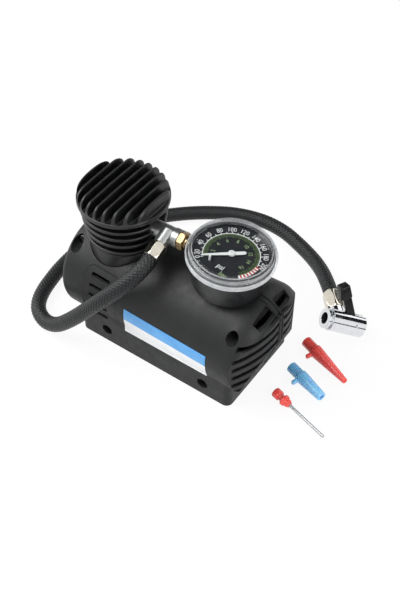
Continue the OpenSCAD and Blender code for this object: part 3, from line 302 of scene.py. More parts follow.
def arc_solid(loop, start, end, steps):
    """A profile loop turned between two angles, its ends closed by drawing the loop in to its middle."""
    a = np.linspace(math.radians(start), math.radians(end), steps)[:, None]
    middle = loop.mean(axis=0)
    r, h = loop[None, :, 0], loop[None, :, 1]
    body = np.stack([r * np.cos(a), r * np.sin(a), np.broadcast_to(h, (steps, loop.shape[0]))], axis=-1)
    ends = []
    for angle in (a[0, 0], a[-1, 0]):
        point = np.array([middle[0] * math.cos(angle), middle[0] * math.sin(angle), middle[1]])
        ends.append(np.broadcast_to(point, (1, loop.shape[0], 3)))
    return np.concatenate([ends[0], body, ends[1]])


def tube(path, ring):
    """A ring of (side, up) offsets carried along a path, or one ring for each of its points. side is level,
    at right angles to the path, and up completes the frame. Returns the point grid."""
    path = np.asarray(path, float)
    ahead = np.gradient(path, axis=0)
    ahead /= np.linalg.norm(ahead, axis=1, keepdims=True)
    side = np.cross(ahead, [0, 0, 1.0])
    side /= np.linalg.norm(side, axis=1, keepdims=True)
    up = np.cross(side, ahead)
    ring = np.asarray(ring, float)
    if ring.ndim == 2:
        ring = np.broadcast_to(ring, (len(path),) + ring.shape)
    return path[:, None] + ring[..., 0:1] * side[:, None] + ring[..., 1:2] * up[:, None]


def closed_tube(path, ring):
    """A tube whose two ends are drawn in to the path."""
    grid = tube(path, ring)
    first = np.broadcast_to(np.asarray(path[0], float), grid[:1].shape)
    last = np.broadcast_to(np.asarray(path[-1], float), grid[:1].shape)
    return np.concatenate([first, grid, last])


def smooth_path(points, spacing):
    """A Catmull-Rom curve through the points, re-spaced evenly: each span blends its two ends and their
    neighbours by the usual cubic, with the end points mirrored outwards."""
    p = np.concatenate([[2 * points[0] - points[1]], points, [2 * points[-1] - points[-2]]])
    t = np.linspace(0, 1, 24, endpoint=False)[None, :, None]
    a, b, c, d = (p[i:len(p) - 3 + i, None] for i in range(4))
    curve = 0.5 * (2 * b + (c - a) * t + (2 * a - 5 * b + 4 * c - d) * t ** 2
                   + (3 * b - a - 3 * c + d) * t ** 3)
    curve = np.concatenate([curve.reshape(-1, 3), points[-1:]])
    run = np.concatenate([[0], np.cumsum(np.linalg.norm(np.diff(curve, axis=0), axis=1))])
    even = np.linspace(0, run[-1], max(2, int(round(run[-1] / spacing)) + 1))
    return np.stack([np.interp(even, run, curve[:, k]) for k in range(3)], axis=1), run[-1]


def soft_box(low, high, radius, steps=4):
    """A box with rounded edges: a ball cut at its three middle planes, its eighths moved to the corners."""
    low, high = np.asarray(low, float), np.asarray(high, float)
    radius = min(radius, (high - low).min() / 2 * 0.98)
    lon = np.concatenate([np.linspace(q, q + 1, steps) for q in range(4)]) * np.pi / 2
    lat = np.concatenate([np.linspace(-1, 0, steps), np.linspace(0, 1, steps)]) * np.pi / 2
    sx = np.repeat([1, -1, -1, 1], steps)
    sy = np.repeat([1, 1, -1, -1], steps)
    sz = np.repeat([-1, 1], steps)
    middle, half = (low + high) / 2, (high - low) / 2 - radius
    x = np.cos(lat)[:, None] * np.cos(lon) * radius + sx[None] * half[0]
    y = np.cos(lat)[:, None] * np.sin(lon) * radius + sy[None] * half[1]
    z = np.broadcast_to((np.sin(lat) * radius + sz * half[2])[:, None], x.shape)
    grid = np.stack([x, y, z], axis=-1) + middle
    pole = np.zeros((1, grid.shape[1], 3))
    bottom, top = pole + grid[0].mean(axis=0), pole + grid[-1].mean(axis=0)
    return np.concatenate([bottom, grid, top])


def hex_bar(apothem, limits):
    """A hexagonal bar turned at its ends. limits is a profile of (height, turned radius). The radius at each
    angle is the smaller of the turned one and the flat's, apothem / cos(angle from the flat's middle)."""
    steps, softness = 96, 0.25
    limits = np.asarray(limits, float)
    a = np.linspace(0, 2 * np.pi, steps, endpoint=False)
    flat = apothem / np.cos((a % (np.pi / 3)) - np.pi / 6)
    top = np.minimum(flat, limits[:, 1:2])
    # A short blend keeps the turned arc and the flat from meeting in a knife edge
    near = np.abs(flat - limits[:, 1:2])
    top = top - softness * 0.25 * np.clip(1 - near / softness, 0, 1) ** 2
    return np.stack([top * np.cos(a), top * np.sin(a), np.broadcast_to(limits[:, 0:1], top.shape)], axis=-1)


def boxes(centres, along, lengths, widths, low, high):
    """Many small bars at once, each a closed box on one level: its length lies along a direction, its
    width across it. Returns (bars, 4, 4, 3): four loops for each bar, the outer two drawn to its middle."""
    centres, along = np.asarray(centres, float), np.asarray(along, float)
    across = np.stack([-along[:, 1], along[:, 0]], axis=1)
    lengths, widths = (np.broadcast_to(np.asarray(v, float), (len(centres),))[:, None]
                       for v in (lengths, widths))
    ring = np.stack([centres + s * along * lengths / 2 + t * across * widths / 2
                     for s, t in ((-1, -1), (-1, 1), (1, 1), (1, -1))], axis=1)
    bottom = np.concatenate([ring, np.full(ring.shape[:2] + (1,), low)], axis=2)
    top = np.concatenate([ring, np.full(ring.shape[:2] + (1,), high)], axis=2)
    floor_mid = np.broadcast_to(bottom.mean(axis=1, keepdims=True), bottom.shape)
    top_mid = np.broadcast_to(top.mean(axis=1, keepdims=True), top.shape)
    return np.stack([floor_mid, bottom, top, top_mid], axis=1)


def polar(angles, radius):
    """Unit directions at those angles in degrees, and the points at that radius."""
    a = np.radians(np.asarray(angles, float))
    out = np.stack([np.cos(a), np.sin(a)], axis=1)
    return out, out * radius


# ---------------------------------------------------------------- settings

def colour(name, text, code):
    """A colour setting whose default is an sRGB hex colour."""
    return FloatVectorProperty(name=name, description=text, default=linear(code)[:3], subtype="COLOR",
                               size=3, min=0.0, max=1.0)


def length(name, text, mm, low=0.0, high=500.0):
    """A length setting, given in millimetres and kept in metres."""
    return FloatProperty(name=name, description=text, default=mm * MM, min=low * MM, max=high * MM,
                         unit="LENGTH", precision=4)


def watts(name, text, amount):
    """The power of a lamp, in watts."""
    return FloatProperty(name=name, description=text, default=amount, min=0.0, max=100.0, unit="POWER")


class CaseSettings(bpy.types.PropertyGroup):
    plastic: colour("Plastic", "Colour of the moulded case", "#111312")
    grain: length("Grain", "Width of one grain of the moulded texture", 0.8, 0.1, 3)
    seam_bead: length("Seam bead", "Half width of the bead on each side of the case's joint", 0.8, 0.3, 2)
    seam_gap: length("Seam gap", "Distance of each bead from the middle plane", 1.75, 0.8, 2.5)


class HeadSettings(bpy.types.PropertyGroup):
    casting: colour("Coating", "Colour of the coated head", "#0a0b0c")
    fins: IntProperty(name="Ridges", description="Number of ridges across the cover", default=9, min=3,
                      max=13)
    pitch: length("Ridge pitch", "Distance from one ridge to the next", 6.7, 4, 9)
    crest: length("Ridge width", "Width of a ridge at its crest", 1.9, 1, 4)
    ring_tip: length("Ring rounding", "Rounding of the outer edge of each cooling ring", 1.1, 0.2, 1.3)


class HoseSettings(bpy.types.PropertyGroup):
    diameter: length("Diameter", "Outside of the braid", 11.4, 6, 14)
    yarns: IntProperty(name="Yarns", description="Yarn crossings counted once round the hose", default=12,
                       min=6, max=24)
    pitch: length("Braid pitch", "Distance from one crossing to the next along the hose", 2.8, 1, 6)
    relief: length("Relief", "Height of a crossing over the gaps", 0.32, 0, 0.5)
    cord: colour("Cord", "Colour of the braid", "#08090a")


class GaugeSettings(bpy.types.PropertyGroup):
    face: colour("Face", "Colour of the dial", "#1b1d21")
    white: colour("White ink", "Outer scale and the pointer", "#eef0ee")
    green: colour("Green ink", "Inner scale", "#5f7844")
    pale_green: colour("Pale green ink", "Numbers of the inner scale", "#93a97c")
    red: colour("Red ink", "Stripes at the end of the scale", "#c03234")
    numerals: length("Numeral height", "Height of the outer numbers", 3.5, 1, 5)
    step_round: length("Lens rounding", "Rounding of the lens's steps", 0.55, 0.1, 0.7)


class FittingSettings(bpy.types.PropertyGroup):
    chrome: colour("Chrome", "Colour of the chuck", "#dfe1e4")
    nickel: colour("Nickel", "Colour of the hose's ferrules", "#d2ccbf")
    brass: colour("Brass", "Colour of the gauge's nut", "#8d7a5c")
    die_cast: colour("Die casting", "Colour of the bare outlet", "#a0a2a1")


class AdaptorSettings(bpy.types.PropertyGroup):
    red: colour("Red", "Red nozzle and the needle's hub", "#ff5a54")
    blue: colour("Blue", "Blue nozzle", "#84caff")
    steel: colour("Steel", "Needle", "#a9abad")


class StageSettings(bpy.types.PropertyGroup):
    floor: colour("Floor", "Colour of the floor and the backdrop", "#ffffff")
    key: watts("Key lamp", "Power of the large lamp", 11.0)
    fill: watts("Fill lamp", "Power of the lamp on the other side", 4.6)
    rim: watts("Rim lamp", "Power of the lamp behind", 2.0)
    side: watts("Side lamp", "Power of the low lamp on the left", 2.4)
    sky: FloatProperty(name="Sky", description="Strength of the even light from all round", default=0.45,
                       min=0.0, max=2.0, subtype="FACTOR")


# ---------------------------------------------------------------- materials

FINISHES = {}


def finish(name):
    """The material of that name, which make_finishes has made."""
    return FINISHES[name]


def rgba(value):
    """A colour setting as four numbers."""
    return (*value, 1.0)


def textured_abs(s):
    """ABS moulded in a spark-eroded tool: a fine even grain that scatters light, so highlights are broad.
    The grain is drawn at 0.8 mm, coarser than the real 0.1 mm, so that it shows. A shallow moulded line
    frames the panel of vent slots: its height is the distance from a rounded rectangle's edge,
    |length(max(|p| - size, 0)) - radius|, kept to the front face. In the line the colour falls to a quarter
    of the plastic's, as painted shade in the groove."""
    material, tree = new_material("abs_spark_eroded")
    base = rgba(s.plastic)
    blotch = clouds(tree, 14.0, 5.0, 0.6, (0.0, 1.0))
    tint = add(tree, "Mix", {0: blotch, 6: base, 7: shade(base, 1.35, 0.002)}, 2, data_type="RGBA")
    where = add(tree, "TexCoord", out="Object")
    axes = add(tree, "SeparateXYZ", {"Vector": where}).outputs
    # The panel's rounding, and on each axis its middle and its half size less the rounding (mm)
    rounding, past = 5.5, []
    for axis, middle, half in (("X", -44.8, 9.2), ("Z", 40.5, 15.0)):
        off = add(tree, "Math", (axes[axis], middle * MM), 0, operation="SUBTRACT")
        off = add(tree, "Math", (off,), 0, operation="ABSOLUTE")
        off = add(tree, "Math", (off, half * MM), 0, operation="SUBTRACT")
        past.append(add(tree, "Math", (off, 0.0), 0, operation="MAXIMUM"))
    outside = add(tree, "CombineXYZ", past, "Vector")
    reach = add(tree, "VectorMath", (outside,), "Value", operation="LENGTH")
    away = add(tree, "Math", (reach, rounding * MM), 0, operation="SUBTRACT")
    away = add(tree, "Math", (away,), 0, operation="ABSOLUTE")
    groove = add(tree, "MapRange", (away, 0.1 * MM, 0.4 * MM, 1.0, 0.0), "Result",
                 interpolation_type="SMOOTHSTEP")
    # Only in front of y = -20 mm and above z = 26 mm
    for axis, limit, side in (("Y", -20, "LESS_THAN"), ("Z", 26, "GREATER_THAN")):
        kept = add(tree, "Math", (axes[axis], limit * MM), 0, operation=side)
        groove = add(tree, "Math", (groove, kept), 0, operation="MULTIPLY")
    # Painted shade: the groove is drawn at a quarter of the plastic's colour
    tint = add(tree, "Mix", {0: groove, 6: tint, 7: shade(base, 0.25)}, 2, data_type="RGBA")
    level = add(tree, "Math", (1.0, groove), 0, operation="SUBTRACT")
    edge = add(tree, "Bevel", {"Radius": 0.5 * MM}, "Normal", samples=4)
    line = add(tree, "Bump", {"Height": level, "Strength": 1.0, "Distance": 0.4 * MM,
                              "Normal": edge}, "Normal")
    grain = add(tree, "Bump", {"Height": clouds(tree, s.grain / MM), "Strength": 0.8, "Distance": 0.12 * MM,
                               "Normal": line}, "Normal")
    shader = add(tree, "BsdfPrincipled", {
        "Base Color": tint, "Roughness": clouds(tree, 6.0, 3.0, 0.5, (0.44, 0.56)), "Normal": grain,
        "IOR": 1.52, "Specular IOR Level": 0.32}, "BSDF")
    add(tree, "OutputMaterial", {"Surface": shader})
    return material


def braided_cord(s):
    """Polyester yarn braided over rubber: each crossing is a small diamond, made pale on its crown by a
    painted highlight and black in the gaps by painted shade, with the yarn's own threads 0.25 mm apart
    running along the hose. The braid is drawn at 2.8 mm, coarser than the real 1.5 mm, so that it shows.
    Reads the hose's UV map, u once round and v in metres."""
    material, tree = new_material("polyester_braid")
    uv = add(tree, "UVMap", out="UV", uv_map="UVMap")
    axes = add(tree, "SeparateXYZ", {"Vector": uv}).outputs
    around = add(tree, "Math", (axes["X"], float(s.yarns)), 0, operation="MULTIPLY")
    along = add(tree, "Math", (axes["Y"], s.pitch), 0, operation="DIVIDE")
    crowns = []
    for operation in ("ADD", "SUBTRACT"):
        phase = add(tree, "Math", (around, along), 0, operation=operation)
        phase = add(tree, "Math", (phase, math.pi), 0, operation="MULTIPLY")
        wave = add(tree, "Math", (phase,), 0, operation="COSINE")
        crowns.append(add(tree, "Math", (wave,), 0, operation="ABSOLUTE"))
    crown = add(tree, "Math", crowns, 0, operation="MULTIPLY")
    threads_round = 140
    thread = add(tree, "Math", (axes["X"], 2 * math.pi * threads_round), 0, operation="MULTIPLY")
    thread = add(tree, "Math", (thread,), 0, operation="SINE")
    thread = add(tree, "Math", (thread, 0.06), 0, operation="MULTIPLY")
    height = add(tree, "Math", (crown, thread), 0, operation="ADD")
    base = rgba(s.cord)
    # Painted light: the crowns are drawn 7 times as light as the cord, a painted highlight, and the gaps a
    # tenth as light, painted shade
    tint = add(tree, "Mix", {0: crown, 6: shade(base, 0.1), 7: shade(base, 7.0)}, 2, data_type="RGBA")
    fibre = clouds(tree, 0.6, 3.0, 0.5, (0.0, 1.0))
    fibre = add(tree, "Math", (fibre, 0.35), 0, operation="MULTIPLY")
    tint = add(tree, "Mix", {0: fibre, 6: tint, 7: shade(base, 2.0, 0.002)}, 2, data_type="RGBA")
    bump = add(tree, "Bump", {"Height": height, "Strength": 0.8, "Distance": 0.18 * MM}, "Normal")
    shader = add(tree, "BsdfPrincipled", {
        "Base Color": tint, "Roughness": clouds(tree, 0.6, 3.0, 0.5, (0.28, 0.42)), "Normal": bump,
        "Specular IOR Level": 0.3, "Sheen Weight": 0.03, "Sheen Roughness": 0.4}, "BSDF")
    add(tree, "OutputMaterial", {"Surface": shader})
    return material


def printed_label():
    """Printed vinyl under a gloss film: a blue band over a white panel, parted by a straight edge, with the
    faintest cloudiness of the film. The band's edge lies at one height on the sloped face."""
    material, tree = new_material("printed_vinyl")
    white_top, blue_foot = 35.1, 35.3
    where = add(tree, "TexCoord", out="Object")
    height = add(tree, "SeparateXYZ", {"Vector": where}, "Z")
    band = add(tree, "MapRange", (height, white_top * MM, blue_foot * MM, 0.0, 1.0), "Result")
    cloud = clouds(tree, 9.0, 3.0, 0.5, (0.0, 1.0))
    white, blue = (add(tree, "Mix", {0: cloud, 6: linear(low), 7: linear(high)}, 2, data_type="RGBA")
                   for low, high in (("#e2e4e6", "#eeeff0"), ("#4796d8", "#57a5e2")))
    tint = add(tree, "Mix", {0: band, 6: white, 7: blue}, 2, data_type="RGBA")
    edge = add(tree, "Bevel", {"Radius": 0.1 * MM}, "Normal", samples=4)
    shader = add(tree, "BsdfPrincipled", {
        "Base Color": tint, "Roughness": clouds(tree, 3.0, 2.0, 0.5, (0.28, 0.36)), "Coat Weight": 0.3,
        "Coat Roughness": 0.12, "Normal": edge}, "BSDF")
    add(tree, "OutputMaterial", {"Surface": shader})
    return material


def clear_polystyrene():
    """Clear moulded polystyrene. Through its thin window only the reflection shows: 5 % of the light head on,
    plus 95 % times the fifth power of how far the surface is turned away. Its stepped rim is thick, and light
    bends and scatters in it. This is painted as a pale, silvery solid share of the rim: a painted sheen that
    grows as the rim turns away, and painted highlights in three rings, at its two steps and its outer edge.
    Reads the lens's UV map, v being the distance from the middle."""
    material, tree = new_material("clear_polystyrene")
    uv = add(tree, "UVMap", out="UV", uv_map="UVMap")
    radius = add(tree, "SeparateXYZ", {"Vector": uv}, "Y")
    rim = add(tree, "MapRange", (radius, 24.9 * MM, 26.4 * MM, 0.0, 1.0), "Result",
              interpolation_type="SMOOTHSTEP")
    clear = add(tree, "BsdfTransparent", {"Color": (0.97, 0.975, 0.98, 1.0)}, "BSDF")
    ripple = add(tree, "Bump", {"Height": clouds(tree, 8.0), "Strength": 0.25,
                                "Distance": 0.06 * MM}, "Normal")
    gloss = add(tree, "BsdfGlossy", {"Roughness": 0.06, "Normal": ripple}, "BSDF")
    facing = add(tree, "LayerWeight", {"Blend": 0.5}, "Facing")
    # What the window reflects, and how much of the rim is painted pale as a painted sheen, as they turn away
    shares = []
    for exponent, gain, least in ((5.0, 0.95, 0.05), (3.0, 0.36, 0.04)):
        share = add(tree, "Math", (facing, exponent), 0, operation="POWER")
        share = add(tree, "Math", (share, gain), 0, operation="MULTIPLY")
        shares.append(add(tree, "Math", (share, least), 0, operation="ADD"))
    reflected, painted_rim_highlight = shares
    window = add(tree, "MixShader", (reflected, clear, gloss), "Shader")
    streak = clouds(tree, 6.0, 2.0, 0.5, (0.0, 1.0))
    # The rim's pale colour is painted light: a painted highlight on clear plastic
    tint = add(tree, "Mix", {0: streak, 6: linear("#cdd0d3"), 7: linear("#eef0f2")}, 2, data_type="RGBA")
    solid = add(tree, "BsdfPrincipled", {
        "Base Color": tint, "Metallic": 0.0, "Roughness": clouds(tree, 6.0, 2.0, 0.5, (0.2, 0.3)),
        "Normal": ripple}, "BSDF")
    # Painted highlights: each ring is (radius, half width, share), and fades evenly to nothing at its edges
    for middle, half, share in ((29.9, 0.9, 0.6), (26.25, 0.22, 0.4), (27.85, 0.2, 0.3)):
        off = add(tree, "Math", (radius, middle * MM), 0, operation="SUBTRACT")
        off = add(tree, "Math", (off,), 0, operation="ABSOLUTE")
        off = add(tree, "Math", (off, half * MM), 0, operation="DIVIDE")
        near = add(tree, "Math", (1.0, off), 0, operation="SUBTRACT")
        near = add(tree, "Math", (near, 0.0), 0, operation="MAXIMUM")
        near = add(tree, "Math", (near, share), 0, operation="MULTIPLY")
        painted_rim_highlight = add(tree, "Math", (painted_rim_highlight, near), 0, operation="ADD")
    painted_rim_highlight = add(tree, "Math", (painted_rim_highlight, 0.95), 0, operation="MINIMUM")
    part = add(tree, "Math", (rim, painted_rim_highlight), 0, operation="MULTIPLY")
    both = add(tree, "MixShader", (part, window, solid), "Shader")
    add(tree, "OutputMaterial", {"Surface": both})
    return material


def make_finishes(scene):
    """Makes every material. Each is named for the real finish, and its comment says what the eye sees."""
    case, head, hose = scene.inflator_case, scene.inflator_head, scene.inflator_hose
    gauge, fit, loose = scene.inflator_gauge, scene.inflator_fittings, scene.inflator_adaptors
    plain = surface_finish
    FINISHES.update({
        "case": textured_abs(case),
        "braid": braided_cord(hose),
        "label": printed_label(),
        "lens": clear_polystyrene(),
        # Satin powder coat on a casting: soft highlights, a faint orange peel 1.2 mm across
        "head": plain("satin_powder_coat", rgba(head.casting), 0.0, 0.38, 1.2, 0.02, 9.0, 0.25, 0.5),
        # Black ABS from a polished tool: sharper highlights
        "gloss_black": plain("gloss_abs", linear("#0b0c0d"), 0.0, 0.24, 1.8, 0.008, 7.0, 0.2, 0.4,
                             **{"Specular IOR Level": 0.25}),
        # Semi-gloss enamel on steel: a soft sheen
        "drum": plain("semi_gloss_enamel", linear("#141517"), 0.0, 0.33, 0.9, 0.012, 12.0, 0.2, 0.6),
        # Nitrile rubber: dull, with a bloom
        "rubber": plain("nitrile_rubber", linear("#161616"), 0.0, 0.66, 0.5, 0.03, 3.0, 0.4, 0.3),
        # Bare die-cast zinc: grey, grainy skin with soft highlights
        "die_cast": plain("die_cast_zinc", rgba(fit.die_cast), 0.9, 0.34, 0.9, 0.03, 3.0, 0.25, 0.5),
        # Cast aluminium: grey, with dull highlights
        "aluminium": plain("cast_aluminium", linear("#a3a5a6"), 0.9, 0.42, 0.6, 0.04, 4.0, 0.25, 0.4),
        # Hexagon brass bar: warm yellow, with soft blotches and a fine grain
        "brass": plain("drawn_brass", rgba(fit.brass), 1.0, 0.3, 0.9, 0.015, 2.4, 0.4, 0.3),
        # Sintered bronze: brown and porous
        "bronze": plain("sintered_bronze", linear("#a37846"), 0.9, 0.42, 0.3, 0.03, 2.0, 0.3, 0.2),
        # Nickel plate on pressed steel: bright with a warm cast, waved by the crimping dies
        "nickel": plain("nickel_plate", rgba(fit.nickel), 1.0, 0.17, 2.4, 0.05, 3.0, 0.12, 0.35, 0.05),
        # Bright chrome: mirror-like, with the slow waves of a polished casting
        "chrome": plain("bright_chrome", rgba(fit.chrome), 1.0, 0.07, 5.0, 0.05, 6.0, 0.06, 0.4, 0.02),
        # Zinc-plated steel: pale grey, slightly cloudy
        "zinc": plain("zinc_plated_steel", linear("#b4b6b5"), 1.0, 0.32, 1.2, 0.015, 3.5, 0.2, 0.3),
        # Drawn stainless tube: grey, with soft highlights
        "needle": plain("stainless_tube", rgba(loose.steel), 0.8, 0.42, 1.2, 0.0004, 4.0, 0.08, 0.2),
        # Enamelled copper wire: reddish brown, glossy
        "copper": plain("enamelled_copper", linear("#a5542a"), 0.8, 0.3, 0.45, 0.12, 1.2, 0.4, 0.2),
        # Ferrite and carbon: dull black-grey
        "ferrite": plain("ferrite", linear("#3a3a3d"), 0.1, 0.6, 0.5, 0.03, 3.0, 0.3, 0.3),
        # Natural nylon: milky
        "nylon": plain("natural_nylon", linear("#d8d2c0"), 0.0, 0.42, 1.0, 0.01, 5.0, 0.08, 0.4,
                       **{"Subsurface Weight": 0.15, "Subsurface Scale": 0.002}),
        # Screen-printed enamel of the dial: even satin black
        "dial": plain("dial_enamel", rgba(gauge.face), 0.0, 0.42, 0.5, 0.004, 6.0, 0.15, 0.1),
        # Screen inks: flat even colour, duller than the enamel under them
        "ink_white": plain("white_ink", rgba(gauge.white), 0.0, 0.5, 0.3, 0.004, 1.5, 0.03, 0.05),
        "ink_green": plain("green_ink", rgba(gauge.green), 0.0, 0.5, 0.3, 0.004, 1.5, 0.15, 0.05),
        "ink_pale_green": plain("pale_green_ink", rgba(gauge.pale_green), 0.0, 0.5, 0.3, 0.004, 1.5, 0.1,
                                0.05),
        "ink_red": plain("red_ink", rgba(gauge.red), 0.0, 0.5, 0.3, 0.004, 1.5, 0.12, 0.05),
        # Stove enamel on aluminium: even white with a slight sheen
        "pointer": plain("white_enamel", rgba(gauge.white), 0.0, 0.36, 0.6, 0.006, 2.5, 0.04, 0.12),
        # Injected polypropylene: glossy and waxy, because light goes some way into it
        **{ink: plain(ink + "_polypropylene", rgba(tone), 0.0, 0.26, 3.0, 0.0012, 6.0, 0.05, 0.1, 0.04,
                      **{"Subsurface Weight": 0.45, "Subsurface Scale": 0.004})
           for ink, tone in (("red", loose.red), ("blue", loose.blue))},
    })


# ---------------------------------------------------------------- operators

class INFLATOR_OT_stage(bpy.types.Operator):
    """Adds the camera, the lamps, the sky and the pale floor"""
    bl_idname = "inflator.stage"
    bl_label = "Stage"

    def execute(self, context):
        s = context.scene.inflator_stage
        target = Vector(CAMERA_TARGET) * MM
        place_camera(context.scene, Vector(CAMERA_AT) * MM, target)
        lamp("key", (-0.55, -0.35, 0.95), target, 0.75, s.key)
        lamp("fill", (0.95, -0.30, 0.55), target, 0.6, s.fill)
        lamp("rim", (0.15, 0.95, 0.60), target, 0.7, s.rim)
        lamp("side", (-0.95, -0.25, 0.40), target, 0.6, s.side)
        paint_sky(context.scene, s)
        floor_plane(s)
        dark_card("dark_card_above", (-0.50, 0.71, 0.96), (0.0, 0.0, 0.05), 1.3, 1.3)
        dark_card("dark_card_back", (0.0, 1.25, 0.25), (0.0, 0.0, 0.25), 2.4, 0.5)
        dark_card("dark_card_side", (1.25, -0.2, 0.07), (0.0, -0.2, 0.07), 1.4, 0.14)
        dark_card("dark_card_right", (0.80, 0.97, 0.58), (0.095, 0.06, 0.01), 1.0, 0.36)
        return {"FINISHED"}


def place_camera(scene, where, target):
    """A camera whose long side, 36 mm for 600 pixels, sees the object at 967 pixels of focal length."""
    data = bpy.data.cameras.new("camera")
    data.lens, data.sensor_width, data.sensor_fit = 58.03, 36.0, "AUTO"
    data.clip_start, data.clip_end = 0.01, 20.0
    camera = bpy.data.objects.new("camera", data)
    camera.location = where
    camera.rotation_euler = (target - where).to_track_quat("-Z", "Y").to_euler()
    scene.collection.objects.link(camera)
    scene.camera = camera


def lamp(name, where, target, size, power):
    """A square area lamp at where, facing target."""
    data = bpy.data.lights.new(name, "AREA")
    data.shape, data.size, data.energy = "SQUARE", size, power
    obj = bpy.data.objects.new(name, data)
    obj.location = where
    obj.rotation_euler = (Vector(target) - Vector(where)).to_track_quat("-Z", "Y").to_euler()
    bpy.context.scene.collection.objects.link(obj)


def seen_background(tree):
    """1 for rays that see the background itself: from the camera, off a mirror or through glass."""
    path = add(tree, "LightPath").outputs
    seen = add(tree, "Math", (path["Is Camera Ray"], path["Is Glossy Ray"]), 0, operation="MAXIMUM")
    return add(tree, "Math", (seen, path["Is Transmission Ray"]), 0, operation="MAXIMUM")


def paint_sky(scene, s):
    """An even pale world: it lights at the sky strength, and shows as the background's colour."""
    world = bpy.data.worlds.new("sky")
    scene.world = world
    world.use_nodes = True
    tree = world.node_tree
    tree.nodes.clear()
    shown, light = (add(tree, "Background", {"Color": rgba(s.floor), "Strength": strength}, "Background")
                    for strength in (1.0, s.sky))
    mix = add(tree, "MixShader", (seen_background(tree), light, shown), "Shader")
    add(tree, "OutputWorld", {"Surface": mix})


def floor_plane(s):
    """A wide matte floor. The camera sees most of it as plain background colour, and the rest as lit
    paper, so the object keeps a soft shadow."""
    mesh = bpy.data.meshes.new("floor")
    x, y = np.meshgrid(np.linspace(-3, 3, 9), np.linspace(-3, 3, 9), indexing="ij")
    grid = np.stack([x, y, np.zeros_like(x)], axis=-1).reshape(-1, 3)
    mesh.from_pydata(grid.tolist(), [], quads(9, 9)[:, ::-1].tolist())
    mesh.update()
    floor = bpy.data.objects.new("floor", mesh)
    bpy.context.scene.collection.objects.link(floor)
    material, tree = new_material("pale_paper")
    mottle = clouds(tree, 40.0, 2.0, 0.5, (0.55, 0.65))
    paper = add(tree, "BsdfPrincipled", {"Base Color": linear("#f4f4f4"), "Roughness": mottle}, "BSDF")
    glow = add(tree, "Emission", {"Color": rgba(s.floor), "Strength": 1.0}, "Emission")
    part = add(tree, "Math", (seen_background(tree), 0.91), 0, operation="MULTIPLY")
    both = add(tree, "MixShader", (part, paper, glow), "Shader")
    add(tree, "OutputMaterial", {"Surface": both})
    mesh.materials.append(material)


def dark_card(name, where, target, width, height):
    """A black card of the studio that only reflections see, so that chrome and gloss have something dark to
    show. Its corners stand half its width and half its height from where, on lines square to its aim."""
    where, ahead = np.array(where), np.array(target) - np.array(where)
    side = np.cross(ahead, [0, 0, 1.0])
    side = side / np.linalg.norm(side) * width / 2
    rise = np.cross(side, ahead)
    rise = rise / np.linalg.norm(rise) * height / 2
    mesh = bpy.data.meshes.new(name)
    corners = ((-1, -1), (1, -1), (1, 1), (-1, 1))
    mesh.from_pydata([tuple(where + a * side + b * rise) for a, b in corners], [], [(0, 1, 2, 3)])
    mesh.update()
    card = bpy.data.objects.new(name, mesh)
    bpy.context.scene.collection.objects.link(card)
    card.visible_camera = card.visible_diffuse = card.visible_shadow = card.visible_transmission = False
    material, tree = new_material("black_felt")
    felt = add(tree, "Emission", {"Color": linear("#202224"), "Strength": 1.0}, "Emission")
    add(tree, "OutputMaterial", {"Surface": felt})
    mesh.materials.append(material)


class INFLATOR_OT_hose(bpy.types.Operator):
    bl_idname = "inflator.hose"
    bl_label = "Braided hose"

    def execute(self, context):
        s = context.scene.inflator_hose
        path, run = smooth_path(HOSE_ROUTE, 0.5)
        piece = braided_tube("air_hose", path, run, s)
        return {"FINISHED"}


def braided_tube(name, path, run, s):
    """The hose's outside: at angle a and distance d the radius is the half diameter less the relief times
    (1 - crown), where crown = |cos(pi (n a + d / pitch))| |cos(pi (n a - d / pitch))| is 1 in the middle of
    each crossing. The two end rows are drawn in to close it."""
    sides = 60
    around = np.linspace(0, 1, sides + 1)
    along = np.linspace(0, run, len(path))
    n, pitch = s.yarns, s.pitch / MM
    crown = np.abs(np.cos(np.pi * (n * around[None] + along[:, None] / pitch))
                   * np.cos(np.pi * (n * around[None] - along[:, None] / pitch)))
    radius = s.diameter / MM / 2 - s.relief / MM * (1 - crown)
    angle = 2 * np.pi * around
    ring = np.stack([radius * np.cos(angle), radius * np.sin(angle)], axis=-1)
    grid = tube(path, ring)
    inner = np.linspace(1, 0, 3)[1:, None, None]
    first, last = (end + (grid[i] - end) * inner for i, end in ((0, path[0]), (-1, path[-1])))
    points = np.concatenate([first[::-1], grid, last])
    v = np.concatenate([[0, 0], along, [run, run]]) * MM
    uv = np.stack(np.broadcast_arrays(around[None], v[:, None]), axis=-1)
    return mesh_piece(name, [(points * MM, False, False)], finish("braid"), "case", ("hose",),
                      60.0, [uv])


class INFLATOR_OT_cover(bpy.types.Operator):
    """Adds the ridged cover of the pump head"""
    bl_idname = "inflator.cover"
    bl_label = "Ridged cover"

    def execute(self, context):
        s = context.scene.inflator_head
        rim = rounded([(20, 106, 0), (30.9, 106, 0.5), (32, 107.5, 0.8), (32, 110.2, 0.9), (30.6, 110.4, 0.8),
                       (30.2, 109, 0.2), (20, 109, 0)])
        mesh_piece("ridged_cover", seated(HEAD, (lathe(rim, 160), True, True), (ridges(s), True, False)),
                   finish("head"), "case", ("head_cover",), 42.0)
        return {"FINISHED"}


